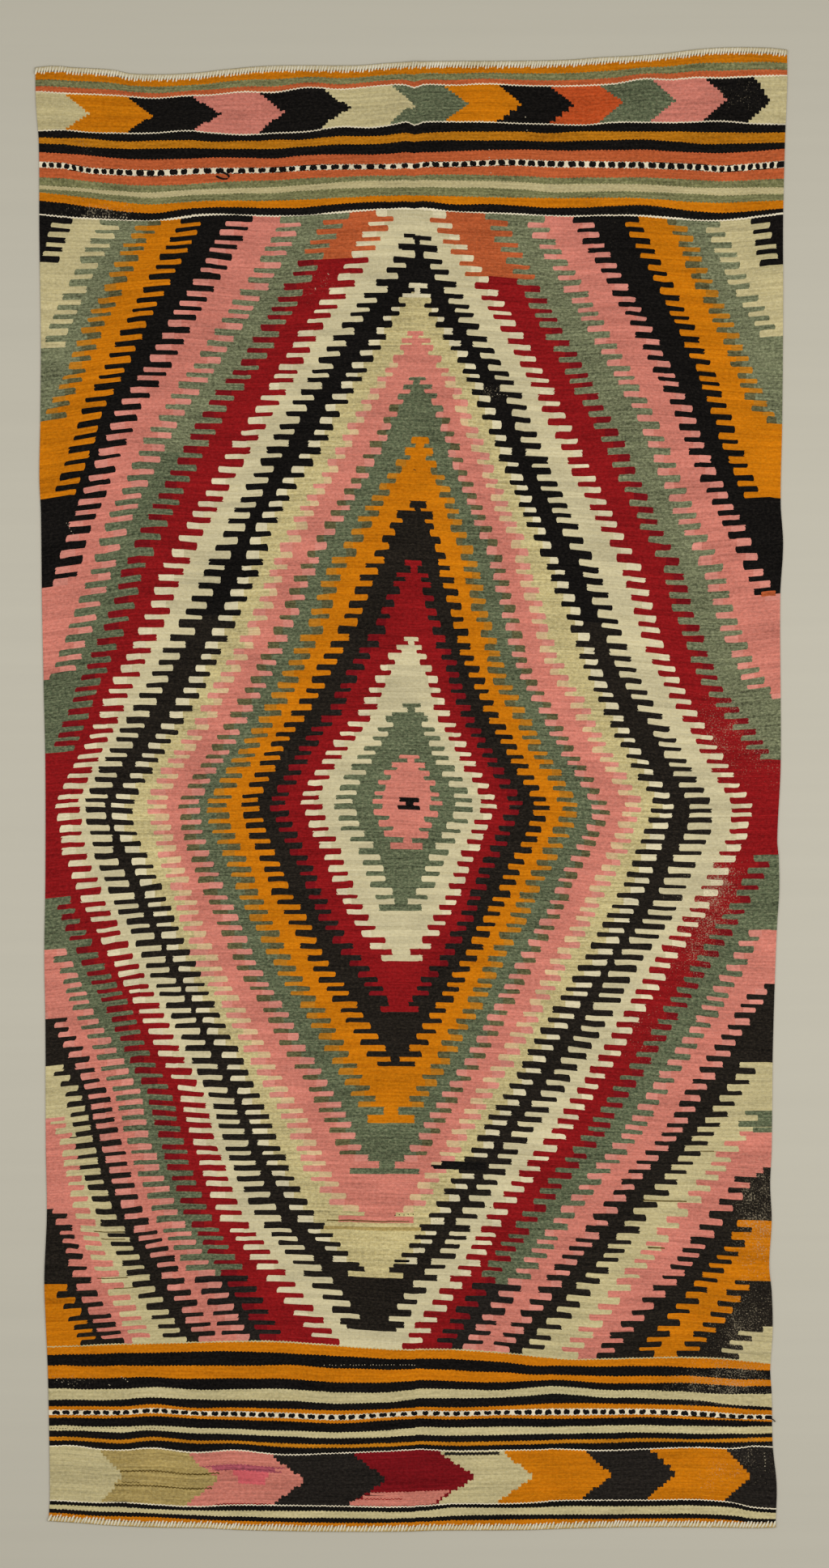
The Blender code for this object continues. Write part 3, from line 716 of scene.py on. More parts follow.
# ---------------------------------------------------------------- the rows of the weave
# A row: upper and lower height, dyes from left to right, and between them edges (x, side, round)
# where side is +1 if the left dye's finger points right and -1 if the right dye's points left.
def wobble(amount):
    return random.uniform(-amount, amount)


def arrow_rows(low, high, arrows, count):
    """A band of arrows, whose flanks step from warp to warp."""
    made = []
    for i in range(count):
        share = (i + 0.5) / count
        reach = 1 - abs(2 * share - 1)
        edges = []
        for _, tip, upper, lower in arrows[:-1]:
            tail = upper if share < 0.5 else lower
            x = tail + (tip - tail) * reach
            if reach < ARROW_POINT:
                x = tail + round((x - tail) / ARROW_STEP) * ARROW_STEP + wobble(0.8)
            edges.append((x, 1, 0.0))
        top, foot = (low + (high - low) * step / count for step in (i, i + 1))
        made.append([top, foot, [dye for dye, *_ in arrows], edges])
    return made


def dot_row(low, high, pitches, width):
    """A row of dark dots on a pale ground."""
    dyes, edges = [DOT_GROUND], []
    x = DOTS_FROM
    while x < DOTS_TO:
        pitch = straight(pitches, x) * random.uniform(0.92, 1.08)
        dot = min(width * random.uniform(0.85, 1.15), pitch - 2.6)
        edges += [(x, -1, 1.5), (x + dot, 1, 1.5)]
        dyes += ["black", DOT_GROUND]
        x += pitch
    return [low, high, dyes, edges]


def border_rows(stripes, top, arrows, arrow_count, dots, dot_width, dot_rim):
    """The rows of a border, stripe by stripe."""
    rows, upper = [], top
    for dye, lower in stripes:
        if dye == "arrows":
            rows += arrow_rows(upper, lower, arrows, arrow_count)
        elif dye == "dots":
            rows.append([upper, upper + dot_rim, [DOT_GROUND], []])
            rows.append(dot_row(upper + dot_rim, lower - dot_rim, dots, dot_width))
            rows.append([lower - dot_rim, lower, [DOT_GROUND], []])
        else:
            rows.append([upper, lower, [dye], []])
        upper = lower
    return rows


def crossing(table, line, x):
    """Where an edge of the chart meets a weft line, searched from x."""
    for _ in range(3):
        x = straight(table, float(np.interp(x, SPAN, line)))
    return x


def reach_at(side, i, y):
    """How far the fingers of edge i pass its middle; they start short at a diamond's tip."""
    table = (LEFT_REACH, RIGHT_REACH)[side]
    reach = float(np.interp(y, REACH_HEIGHTS, table[min(i, len(table) - 1)]))
    if i < DIAMONDS:
        reach *= min(TIP_REACH + max(y - BANDS[i][1], 0.0) / TIP_LENGTH, 1.0)
    if side == 1 and i in LONG_EDGES:
        reach += LONGER_BY * exp(-(((y - LONG_AT) / LONG_OVER) ** 2))
    return reach


def comb(side, inmost, parity, y_axis, line):
    """One side's edges from the inmost band outwards: x, finger's side, rounding, dye beyond."""
    sign = (-1, 1)[side]
    low = y_axis >= FIELD_MIDDLE
    tables = [band[3 + side] for band in BANDS[:DIAMONDS]]
    tables += OUTER_EDGES[side][low]
    dyes = [band[0] for band in BANDS] + list(OUTER_DYES[low])
    if y_axis < CORAL_ABOVE[side]:
        dyes[RED_BAND] = "coral"
    if y_axis > CHARCOAL_BELOW:
        dyes[NEXT_BAND] = "charcoal"
    if y_axis > BROWNER_BELOW:
        dyes = ["umber" if dye == "black" else dye for dye in dyes]
    if side == 0 and y_axis > GREENER_BELOW:
        dyes = ["green" if dye == "willow" else dye for dye in dyes]
    run = []
    x = straight(AXIS, y_axis)
    for i, table in enumerate(tables):
        x = crossing(table, line, x)
        if i < inmost or i + 1 >= len(dyes):
            continue
        out = (i + parity) % 2 == 0
        reach = reach_at(side, i, y_axis) + wobble(1.4)
        if low and side == 0 and i > 10:
            reach *= min(SELVEDGE_REACH + max(x - SELVEDGE_FROM, 0.0) / SELVEDGE_LENGTH, 1.0)
        tip = x + sign * (reach if out else -reach)
        own, beyond = TIPS.get(i, (None, None))
        if reach < LEAST_TIP or (low and i > 13) or (own and dyes[i] in ("coral", "charcoal")):
            own = beyond = None
        start = x + wobble(3.0)
        if out and own:
            run += [(start - sign * 3, 1, 0.0, own), (tip, sign, TIP_ROUNDING, dyes[i + 1])]
        elif beyond and not out:
            run += [(tip, -sign, TIP_ROUNDING, beyond), (start + sign * 3, 1, 0.0, dyes[i + 1])]
        else:
            run.append((tip, sign if out else -sign, TIP_ROUNDING, dyes[i + 1]))
    return run


def field_row(upper, lower, parity):
    """One row of comb fingers, from the left selvedge to the right one."""
    height = (upper + lower) / 2
    line = weft_line(height)
    y_axis = float(np.interp(straight(AXIS, height), SPAN, line))
    inmost = next((i for i in range(10) if BANDS[i][1] < y_axis < BANDS[i][2]), 10)
    left, right = (comb(side, inmost, parity, y_axis, line) for side in (0, 1))
    if right[0][0] - left[0][0] < 10:
        middle = (right[0][0] + left[0][0]) / 2
        left[0] = (middle - 5, *left[0][1:])
        right[0] = (middle + 5, *right[0][1:])
    inner = "umber" if inmost == 9 and y_axis > BROWNER_BELOW else BANDS[inmost][0]
    dyes = [edge[3] for edge in left[::-1]] + [inner] + [edge[3] for edge in right]
    return [upper, lower, dyes, [edge[:3] for edge in left[::-1] + right]]


def field_rows():
    rows, y, parity = [], FIELD_TOP, 0
    while y < FIELD_BOTTOM - 2:
        lower = y + straight(FINGER_PITCH, y) / 2 * random.uniform(0.74, 1.28)
        if FIELD_BOTTOM - lower < 4:
            lower = FIELD_BOTTOM
        rows.append(field_row(y, lower, parity))
        y, parity = lower, 1 - parity
    return rows


def overrule(row, dye, x0, x1):
    """Lays a patch of another dye over a stretch of a row."""
    _, _, dyes, edges = row
    xs = [edge[0] for edge in edges]
    first, last = bisect_right(xs, x0), bisect_left(xs, x1)
    row[2] = dyes[: first + 1] + [dye] + dyes[last:]
    row[3] = edges[:first] + [(x0, -1, 0.8), (x1, 1, 0.8)] + edges[last:]


def add_strays(rows):
    """Splits rows so that each stray weft gets a row of its own height, and lays it in."""
    bars = [(dye, x0, x1, (y0 + y1) / 2, y1 - y0) for dye, x0, x1, y0, y1 in each(BARS)]
    for dye, x0, x1, y, thick in bars + each(STRAYS):
        column = int(round((x0 + x1) / 2 - SPAN[0]))
        height = y
        for _ in range(4):
            height += y - float(weft_line(height)[column])
        low, high = height - thick / 2, height + thick / 2
        for cut in (low, high):
            i = next(k for k, row in enumerate(rows) if row[0] <= cut < row[1])
            upper, lower, dyes, edges = rows[i]
            if min(cut - upper, lower - cut) >= LEAST_SPLIT:
                rows[i : i + 1] = [
                    [upper, cut, list(dyes), list(edges)],
                    [cut, lower, list(dyes), list(edges)],
                ]
        for row in rows:
            upper, lower = row[:2]
            if low - REACHES_OVER <= upper and lower <= high + REACHES_OVER and lower - upper > 0.1:
                overrule(row, dye, x0, x1)


def tidy_row(row):
    """Drops edges past the selvedges, and slivers."""
    upper, lower, dyes, edges = row
    line = weft_line((upper + lower) / 2)
    low = left_side(line[int(NEAR_LEFT - SPAN[0])]) + 3.2
    high = right_side(line[int(NEAR_RIGHT - SPAN[0])]) - 3.2
    kept_dyes, kept = [dyes[0]], []
    least = 3.2 if FIELD_TOP <= upper < FIELD_BOTTOM else 2.0
    for (x, side, rounding), dye in zip(edges, dyes[1:]):
        if x > high:
            break
        if x < low:
            kept_dyes[-1] = dye
        elif kept and x - kept[-1][0] < least:
            if len(kept_dyes) > 1 and kept_dyes[-2] == dye:
                kept.pop()
                kept_dyes.pop()
            else:
                kept_dyes[-1] = dye
        elif dye != kept_dyes[-1]:
            kept.append((x, side, rounding))
            kept_dyes.append(dye)
    row[2], row[3] = kept_dyes, kept


def all_rows():
    rows = border_rows(UPPER_STRIPES, CLOTH_TOP, UPPER_ARROWS, 15, UPPER_DOTS, 9.2, 0.3)
    rows += field_rows()
    rows += border_rows(LOWER_STRIPES, FIELD_BOTTOM, LOWER_ARROWS, 16, LOWER_DOTS, 9.0, 0.6)
    for above, row in zip(rows, rows[1:]):
        row[0] = above[1]
    add_strays(rows)
    for row in rows:
        tidy_row(row)
    return rows


# ---------------------------------------------------------------- the cloth's mesh
CREASE_STATIONS = [chart_x(CREASE_X + CREASE_HALF_WIDTH * k / 2) for k in range(-4, 5)]
STATIONS = sorted(CREASE_STATIONS + [
    x for x in (80 + 40.0 * i for i in range(22)) if all(abs(x - c) > 8 for c in CREASE_STATIONS)
])
SELVEDGE_WARPS = (
    # squares in from the edge, height above the floor (mm)
    (0.0, 1.9), (0.7, 2.75), (1.6, 3.2), (2.5, 2.8), (3.4, 3.15), (4.3, 2.85), (5.3, 3.1),
    (6.6, 3.0),
)
SPLITS = (
    [("L", j) for j in range(1, len(SELVEDGE_WARPS))]
    + [("S", j) for j in range(len(STATIONS))]
    + [("R", j) for j in range(len(SELVEDGE_WARPS) - 1, 0, -1)]
)
KNOTS = 41  # along a weft line, where its unevenness is drawn
THIN = 2.6  # rows lower than this have straight fingers; also the least width of a face
SAME_PLACE = 0.75  # cuts of a line closer than this become one
GAP, FIRST_GAP = 0.3, 2.3  # least step from one split to the next, and more for the first


def slant(row, i):
    """How far the end of a finger leans, in squares."""
    return ((row * 7 + i * 13) % 7 - 3) * 0.28


def selvedge_height(x, y):
    """The sheet's upper face, lower at the selvedges and ridged over their thick warps."""
    near = min(x - left_side(y), right_side(y) - x)
    return straight(SELVEDGE_WARPS, max(near, 0.0)) / 1000


class Cloth:
    """Collects vertices and faces of the sheet."""

    def __init__(self):
        self.points, self.weft, self.worn, self.shade = [], [], [], []
        self.faces, self.dyes, self.tones = [], [], []

    def point(self, x, y, height, z):
        wx, wy = in_metres(x, y)
        self.points.append((wx, wy, z + rise(wx, wy)))
        self.weft.append(height * SQUARE)
        self.worn.append(min(stain(WORN, x, y), 1.0))
        self.shade.append(stain(SHADES, x, y))
        return len(self.points) - 1

    def face(self, ring, dye, tone):
        self.faces.append(ring)
        self.dyes.append(dye)
        self.tones.append(tone)


class Side:
    """One side of the sheet, over or under, woven row by row. A tag names what cuts a line."""

    def __init__(self, cloth, rows, over):
        self.cloth, self.rows, self.over = cloth, rows, over
        self.heights = [rows[0][0]] + [row[1] for row in rows]
        self.lines = self.uneven_lines()
        self.where = [self.cut(k) for k in range(len(self.heights))]
        self.cuts = [sorted(set(places.values())) for places in self.where]
        self.ids = [self.vertices(k) for k in range(len(self.heights))]
        self.xs = [[x for x, _ in line] for line in self.ids]
        for r in range(len(rows)):
            self.fill(r)

    def uneven_lines(self):
        heights = self.heights
        lines = [weft_line(h) for h in heights]
        rng = random.Random(11)
        for k in range(1, len(heights) - 1):
            room = min(heights[k] - heights[k - 1], heights[k + 1] - heights[k])
            amount = 0.17 * room if FIELD_TOP < heights[k] < FIELD_BOTTOM else 0.05 * room
            knots = [rng.uniform(-1, 1) for _ in range(KNOTS)]
            places = np.linspace(SPAN[0], SPAN[-1], KNOTS)
            lines[k] = lines[k] + amount * np.interp(SPAN, places, knots)
        return lines

    def y_at(self, k, x):
        return float(np.interp(x, SPAN, self.lines[k]))

    def cut(self, k):
        """The place of every tag on a line, those of higher rank first."""
        left, right = left_side(self.y_at(k, NEAR_LEFT)), right_side(self.y_at(k, NEAR_RIGHT))
        wanted = [(2, x, ("S", j)) for j, x in enumerate(STATIONS)]
        for j, (inset, _) in enumerate(SELVEDGE_WARPS):
            rank = 0 if j == 0 else 3
            wanted += [(rank, left + inset, ("L", j)), (rank, right - inset, ("R", j))]
        for r in (k - 1, k):
            if 0 <= r < len(self.rows):
                upper, lower, _, edges = self.rows[r]
                for i, (x, side, rounding) in enumerate(edges):
                    shift = side * rounding if self.over and lower - upper >= THIN else 0.0
                    if rounding and self.over:
                        shift += slant(r, i) * (1 if k == r else -1)
                    wanted.append((1, x - shift, ("B", r, i)))
        xs, places = [], {}
        for _, x, tag in sorted(wanted, key=lambda w: w[:2]):
            at = bisect_left(xs, x)
            near = [a for a in (at - 1, at) if 0 <= a < len(xs) and abs(xs[a] - x) < SAME_PLACE]
            if near:
                x = xs[near[0]]
            else:
                xs.insert(at, x)
            places[tag] = x
        return places

    def dye_at(self, r, k, x):
        """The dye of row r just beside line k at x."""
        places = [self.where[k]["B", r, i] for i in range(len(self.rows[r][3]))]
        return self.rows[r][2][bisect_right(places, x)]

    def vertices(self, k):
        """The vertices of a line as (x, vertex), with a sawtooth over the warps between dyes."""
        xs, height = self.cuts[k], self.heights[k]
        border = not FIELD_TOP + 1 <= height <= FIELD_BOTTOM - 1
        pitch = WARP * (1.2 if border else 24)
        amount = 0.75 if border else 0.6
        entries = []
        for x, after in zip(xs, xs[1:] + [None]):
            entries.append((x, 0.0))
            if after is None or not self.over or k in (0, len(self.rows)):
                continue
            middle = (x + after) / 2
            if self.dye_at(k - 1, k, middle) == self.dye_at(k, k, middle):
                continue
            n = int(x / pitch) + 1
            while n * pitch < after - 0.6:
                if n * pitch > x + 0.6:
                    lift = amount * (1 if n % 2 else -1) * random.uniform(0.5, 1.1)
                    entries.append((n * pitch, lift))
                n += 1
        made = []
        for x, lift in entries:
            y = self.y_at(k, x) + lift
            if self.over:
                z = selvedge_height(x, y)
            else:
                z = RIM_HEIGHT if x in (xs[0], xs[-1]) else 0.0
            made.append((x, self.cloth.point(x, y, height + lift, z)))
        return made

    def stretch(self, k, x0, x1):
        """The vertices of a line from one place to another."""
        first = bisect_left(self.xs[k], x0 - 1e-6)
        return [v for _, v in self.ids[k][first : bisect_right(self.xs[k], x1 + 1e-6)]]

    def fill(self, r):
        """The faces of a row, dye by dye, split at the stations and the selvedges' warps."""
        upper, lower, dyes, edges = self.rows[r]
        top, low, tall = r, r + 1, lower - upper
        bounds = [(self.cuts[top][0], self.cuts[low][0], [])]
        for i, (x, side, rounding) in enumerate(edges):
            chain = []
            if self.over and tall >= THIN and rounding:
                for share in (0.3, 0.7):
                    tip = x - side * rounding * 0.1 - slant(r, i) * (1 - 2 * share)
                    y = self.y_at(top, x) * (1 - share) + self.y_at(low, x) * share
                    z = selvedge_height(tip, y)
                    chain.append(self.cloth.point(tip, y, upper + tall * share, z))
            tag = ("B", r, i)
            bounds.append((self.where[top][tag], self.where[low][tag], chain))
        bounds.append((self.cuts[top][-1], self.cuts[low][-1], []))
        for i, dye in enumerate(dyes):
            tone = random.uniform(-1, 1)
            start, end = bounds[i], bounds[i + 1]
            inside = [start]
            for tag in SPLITS:
                a, b = self.where[top][tag], self.where[low][tag]
                last = inside[-1]
                more = FIRST_GAP * (last is start)
                apart = (
                    a > max(start[0], last[0]) + more + GAP
                    and b > max(start[1], last[1]) + more + GAP
                    and a < end[0] - THIN
                    and b < end[1] - THIN
                )
                warp = (
                    tag[0] in "LR"
                    and i in (0, len(dyes) - 1)
                    and a > last[0] + GAP
                    and b > last[1] + GAP
                    and a < end[0] - GAP
                    and b < end[1] - GAP
                    and (not start[2] or min(a - start[0], b - start[1]) > THIN)
                    and (not end[2] or min(end[0] - a, end[1] - b) > THIN)
                )
                if apart or warp:
                    inside.append((a, b, []))
            inside.append(end)
            for before, after in zip(inside, inside[1:]):
                ring = self.stretch(top, before[0], after[0]) + after[2]
                ring += self.stretch(low, before[1], after[1])[::-1] + before[2][::-1]
                if len(ring) >= 3:
                    self.cloth.face(ring[::-1] if self.over else ring, NAMES.index(dye), tone)

    def rim(self):
        """The vertices round the outside, in order."""
        first, *lines, last = self.ids
        ring = [v for _, v in first] + [line[-1][1] for line in lines]
        return ring + [v for _, v in last[::-1]] + [line[0][1] for line in lines[::-1]]


def add_object(name, data):
    made = bpy.data.objects.new(name, data)
    bpy.context.scene.collection.objects.link(made)
    return made


def weave():
    rows = all_rows()
    cloth = Cloth()
    over, under = (Side(cloth, rows, over).rim() for over in (True, False))
    if len(over) != len(under):
        raise ValueError(f"rims differ: {len(over)} and {len(under)}")
    for a, b in zip(range(len(over)), [*range(1, len(over)), 0]):
        cloth.face([over[a], over[b], under[b], under[a]], cloth.dyes[0], 0.0)
    mesh = bpy.data.meshes.new("woven_cloth")
    mesh.from_pydata(cloth.points, [], cloth.faces)
    mesh.polygons.foreach_set("material_index", cloth.dyes)
    for name, domain, values in (
        ("weft", "POINT", cloth.weft),
        ("worn", "POINT", cloth.worn),
        ("shade", "POINT", cloth.shade),
        ("tone", "FACE", cloth.tones),
    ):
        mesh.attributes.new(name, "FLOAT", domain).data.foreach_set("value", values)
    mesh.shade_smooth()
    mesh.set_sharp_from_angle(angle=pi / 3)
    for name in NAMES:
        mesh.materials.append(dyed_wool(name, *DYES[name]))
    return add_object("woven_cloth", mesh)


# ---------------------------------------------------------------- materials
def linear(colour):
    return tuple(
        (c / 255) / 12.92 if c / 255 <= 0.04045 else ((c / 255 + 0.055) / 1.055) ** 2.4
        for c in colour
    ) + (1.0,)


class Nodes:
    """A material, with short names for building its shader's nodes."""

    def __init__(self, name):
        self.material = bpy.data.materials.new(name)
        self.material.use_nodes = True
        self.tree = self.material.node_tree
        self.shader = self.tree.nodes["Principled BSDF"]

    def add(self, kind, inputs=(), **settings):
        node = self.tree.nodes.new(kind)
        for name, value in settings.items():
            setattr(node, name, value)
        self.put(node, dict(inputs))
        return node

    def put(self, node, inputs):
        """Sets sockets of a node, by name or number, to constants or links."""
        for name, value in inputs.items():
            if isinstance(value, bpy.types.NodeSocket):
                self.tree.links.new(value, node.inputs[name])
            else:
                node.inputs[name].default_value = value

    def maths(self, operation, a, b=0.0, clamp=False):
        node = self.add("ShaderNodeMath", {0: a, 1: b}, operation=operation, use_clamp=clamp)
        return node.outputs[0]

    def plus(self, a, b):
        return self.maths("ADD", a, b)

    def times(self, a, b, clamp=False):
        return self.maths("MULTIPLY", a, b, clamp)

    def noise(self, vector, scale, detail=2.0, roughness=0.5):
        """Noise on a vector stretched by a scale for each axis, as a number round 0.5."""
        stretched = self.add("ShaderNodeMapping", {"Vector": vector, "Scale": scale}).outputs[0]
        node = self.add("ShaderNodeTexNoise", {
            "Vector": stretched, "Scale": 1.0, "Detail": detail, "Roughness": roughness,
        })
        return node.outputs["Fac"]

    def step(self, value, low, high, to_low=0.0, to_high=1.0):
        node = self.add("ShaderNodeMapRange", {
            "Value": value, "From Min": low, "From Max": high, "To Min": to_low, "To Max": to_high,
        })
        return node.outputs[0]

    def mix(self, share, a, b, blend="MIX"):
        inputs = {"Factor": share, "A": a, "B": b}
        node = self.add("ShaderNodeMix", inputs, data_type="RGBA", blend_type=blend)
        return next(socket for socket in node.outputs if socket.type == "RGBA")

    def grey(self, level):
        return self.add("ShaderNodeCombineXYZ", {0: level, 1: level, 2: level}).outputs[0]

    def bump(self, strength, distance, height):
        inputs = {"Strength": strength, "Distance": distance, "Height": height}
        return self.add("ShaderNodeBump", inputs).outputs[0]

    def finish(self, **sockets):
        """Sets the shader's own sockets, whose names are given with _ for a space."""
        self.put(self.shader, {name.replace("_", " "): v for name, v in sockets.items()})
        return self.material


def dyed_wool(name, colour, dark, light, streaks, flecks, heather):
    """Weft-faced wool: streaks along the wefts, heathered flecks, ribs, and wear to the warp."""
    n = Nodes("wool_" + name)
    place = n.add("ShaderNodeNewGeometry").outputs["Position"]
    across = n.add("ShaderNodeSeparateXYZ", {0: place}).outputs[0]
    weft, worn, shade, tone = (
        n.add("ShaderNodeAttribute", attribute_name=attribute).outputs["Fac"]
        for attribute in ("weft", "worn", "shade", "tone")
    )
    loom = n.add("ShaderNodeCombineXYZ", {"X": across, "Y": weft}).outputs[0]

    streak = n.step(n.noise(loom, (6.0, 230.0, 1.0), 3.0, 0.6), 0.36, 0.68)
    fleck = n.step(n.noise(loom, (170.0, 300.0, 1.0), 2.0, 0.65), 0.42, 0.72)
    cloud = n.noise(loom, (9.0, 14.0, 1.0), 2.0, 0.5)
    mottle = n.step(n.noise(loom, (150.0, 200.0, 1.0), 3.0, 0.75), 0.34, 0.66, -heather, heather)
    pick = n.step(n.noise(loom, (13.0, 310.0, 1.0), 2.0, 0.6), 0.34, 0.66, -heather, heather)
    mottle = n.plus(mottle, n.times(pick, 0.6))
    base = n.mix(n.times(streak, streaks), linear(colour), linear(dark))
    base = n.mix(n.times(fleck, flecks), base, linear(light))
    level = n.plus(n.times(tone, 0.09), n.step(cloud, 0.3, 0.7, 0.9, 1.1))
    level = n.plus(n.plus(level, shade), mottle)
    base = n.mix(1.0, base, n.grey(level), "MULTIPLY")
    ticks = n.noise(loom, (330.0, 330.0, 1.0), 2.0, 0.6)
    patch = n.noise(loom, (38.0, 52.0, 1.0), 2.0, 0.6)
    bare = n.plus(n.times(ticks, 0.75), n.times(patch, 0.25))
    bare = n.plus(bare, n.times(worn, 0.30))
    bare = n.times(n.step(bare, 0.66, 0.78), n.step(worn, 0.02, 0.15), clamp=True)
    base = n.mix(n.times(bare, 0.60), base, linear((172, 158, 130)))

    wander = n.noise(loom, (30.0, 12.0, 1.0), 2.0, 0.5)
    rib = n.plus(n.times(across, 2 * pi / 0.0029), n.times(wander, 5.0))
    rib = n.maths("SINE", rib)
    bead = n.maths("SINE", n.times(weft, 2 * pi / 0.0014))
    fuzz = n.noise(loom, (900.0, 900.0, 1.0), 3.0, 0.7)
    relief = n.plus(n.times(rib, 0.30), n.times(bead, 0.12))
    relief = n.plus(relief, n.times(fuzz, 0.5))
    return n.finish(
        Base_Color=base, Normal=n.bump(0.55, 0.0006, relief), Roughness=0.95,
        Specular_IOR_Level=0.03, Sheen_Weight=0.015, Sheen_Roughness=0.6,
    )


def twisted_wool(name, colour, dark):
    """Spun wool of the overcast stitches and of stray yarns."""
    n = Nodes(name)
    place = n.add("ShaderNodeNewGeometry").outputs["Position"]
    fibre = n.noise(place, (260.0, 260.0, 260.0), 3.0, 0.7)
    soil = n.noise(place, (14.0, 30.0, 1.0), 2.0, 0.5)
    share = n.plus(n.times(fibre, 0.6), n.times(soil, 0.4))
    base = n.mix(n.step(share, 0.35, 0.65), linear(dark), linear(colour))
    strand = n.noise(place, (700.0, 700.0, 700.0), 2.0, 0.7)
    return n.finish(
        Base_Color=base, Normal=n.bump(0.5, 0.0005, strand), Roughness=0.95,
        Specular_IOR_Level=0.05, Sheen_Weight=0.02,
    )


def plain(name, colour, roughness):
    """A floor's paint, with a faint grain."""
    n = Nodes(name)
    place = n.add("ShaderNodeTexCoord").outputs["Object"]
    grain = n.noise(place, (0.7, 26.0, 1.0), 3.0, 0.6)
    tint = n.grey(n.step(grain, 0.3, 0.7, 0.985, 1.015))
    base = n.mix(1.0, linear(colour), tint, "MULTIPLY")
    return n.finish(Base_Color=base, Roughness=roughness)


# ---------------------------------------------------------------- bindings and loose bits
def tube(points, faces, path, across, sides=6):
    """Adds a closed tube round a path of (place, half width, half height)."""
    first = len(points)
    for (x, y, z), half_width, half_height in path:
        for side in range(sides):
            turn = 2 * pi * (side + 0.5) / sides
            off = cos(turn) * half_width
            points.append((x + across[0] * off, y + across[1] * off, z + sin(turn) * half_height))
    for ring in range(len(path) - 1):
        for side in range(sides):
            a = first + ring * sides + side
            b = first + ring * sides + (side + 1) % sides
            faces.append((a, b, b + sides, a + sides))
    faces.append(tuple(range(first + sides - 1, first - 1, -1)))
    last = first + (len(path) - 1) * sides
    faces.append(tuple(range(last, last + sides)))


def piece(name, points, faces, materials, kinds):
    mesh = bpy.data.meshes.new(name)
    mesh.from_pydata(points, [], faces)
    for material in materials:
        mesh.materials.append(material)
    mesh.polygons.foreach_set("material_index", kinds)
    mesh.shade_smooth()
    made = add_object(name, mesh)
    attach(made, "root")
    return made


CORD_HALF_WIDTH, CORD_HALF_HEIGHT = 0.0048, 0.0019
CORD_STEPS = 96
END_STITCH = 0.002  # the first and last stitch's distance from the selvedge
STITCH_PROFILE = (
    # share of the stitch's length from the cloth's side, height above the floor (mm), fullness
    (0.00, 2.9, 0.35), (0.10, 3.7, 0.85), (0.35, 4.2, 1.0), (0.65, 3.9, 1.0), (0.88, 2.4, 0.9),
    (1.00, 0.9, 0.4),
)


def overcast(name, cord, line, outward, onto, lean, pitch):
    """One end's binding: a cord along the warp ends, wrapped in slanting stitches."""
    rng = random.Random(5)
    points, faces, path = [], [], []
    along = 0.0 if outward < 0 else 1.0
    low, high = left_edge(along), right_edge(along)
    for i in range(CORD_STEPS + 1):
        share = i / CORD_STEPS
        x, y = low + (high - low) * share, line(share)
        z = rise(x, y) + CORD_HALF_HEIGHT
        path.append(((x, y, z), CORD_HALF_WIDTH, CORD_HALF_HEIGHT))
    tube(points, faces, path, (0.0, 1.0), 8)
    cord_faces = len(faces)
    x = low + END_STITCH
    while x < high - END_STITCH:
        y = line((x - low) / (high - low))
        inner = y - outward * (BINDING_WIDTH / 2 + onto * rng.uniform(0.3, 1.2))
        outer = y + outward * BINDING_WIDTH / 2 * rng.uniform(0.88, 1.04)
        slope = lean * rng.uniform(0.75, 1.25)
        half = pitch * rng.uniform(0.30, 0.40)
        stitch = []
        for part, height, full in STITCH_PROFILE:
            px = x + slope * outward * (part - 0.5)
            py = inner + (outer - inner) * part
            lift = height * rng.uniform(0.95, 1.05) / 1000
            stitch.append(((px, py, rise(px, py) + lift), half * full, 0.0008 * full))
        tube(points, faces, stitch, (1.0, 0.0))
        x += pitch * rng.uniform(0.84, 1.16)
    kinds = [1] * cord_faces + [0] * (len(faces) - cord_faces)
    made = piece(name, points, faces, (STITCH_WOOL, cord), kinds)
    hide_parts(name.replace("overcast", "binding"))
    return made


YARN_HALF_HEIGHT = 0.0009
YARNS = (
    # half width (mm), then chart x and y, height above the cloth (mm): stray black weft ends
    (2.3, (267, 211, 0.2), (271, 212, 0.9), (276, 213.5, 1.3), (281, 216, 1.0), (283.5, 219, 0.6),
     (281, 221.5, 0.8), (276, 221.5, 1.0), (271, 220, 0.6), (267, 218, 0.2)),
    (1.1, (948, 1750.5, 0.2), (952, 1751.5, 0.8), (955, 1753.5, 0.7), (957.5, 1756, 0.2)),
)
# Bare warps and lint: dye, (from x, y, to x, y, spacing, half width, half height in squares).
TICKS = (
    ("white", (105, 267, 160, 269, 3.6, 0.9, 1.6), (400, 1686, 512, 1686, 3.6, 0.8, 0.9),
     (944, 1795, 945, 1811, 3.4, 1.1, 0.9), (150, 1700, 158, 1706, 3, 1, 0.9),
     (70, 1705, 92, 1712, 6.5, 1, 0.9), (134, 1710, 136, 1711, 2, 1, 0.9),
     (604, 185, 606, 214, 9.6, 1.2, 0.9), (649, 145, 651, 161, 15.5, 1.2, 1),
     (405, 338, 406, 339, 3, 1, 0.9), (389, 356, 390, 357, 3, 1, 0.9),
     (614, 487, 626, 489, 3.2, 0.9, 0.9)),
    ("charcoal", (512, 580, 513, 581, 3, 1.2, 1)),
    ("olive", (655, 1719, 832, 1719, 3.6, 0.9, 0.5)),
    ("black", (60, 1764, 202, 1764, 3.4, 1.2, 0.8)),
    ("charcoal", (550, 1796, 620, 1796, 2.2, 1.2, 0.5)),
    ("white", (82, 646, 90, 660, 4, 0.8, 0.8)),
    ("black", (536, 1508, 542, 1506, 3, 1, 0.7), (488, 1501, 510, 1500, 5.5, 1.1, 0.9),
     (600, 1490, 612, 1493, 4.5, 1.1, 0.8)),
)
TICK_DYES = ["black", "white", "charcoal", "olive"]


def over_cloth(x, y, above):
    wx, wy = in_metres(x, y)
    return wx, wy, selvedge_height(x, y) + rise(wx, wy) + above


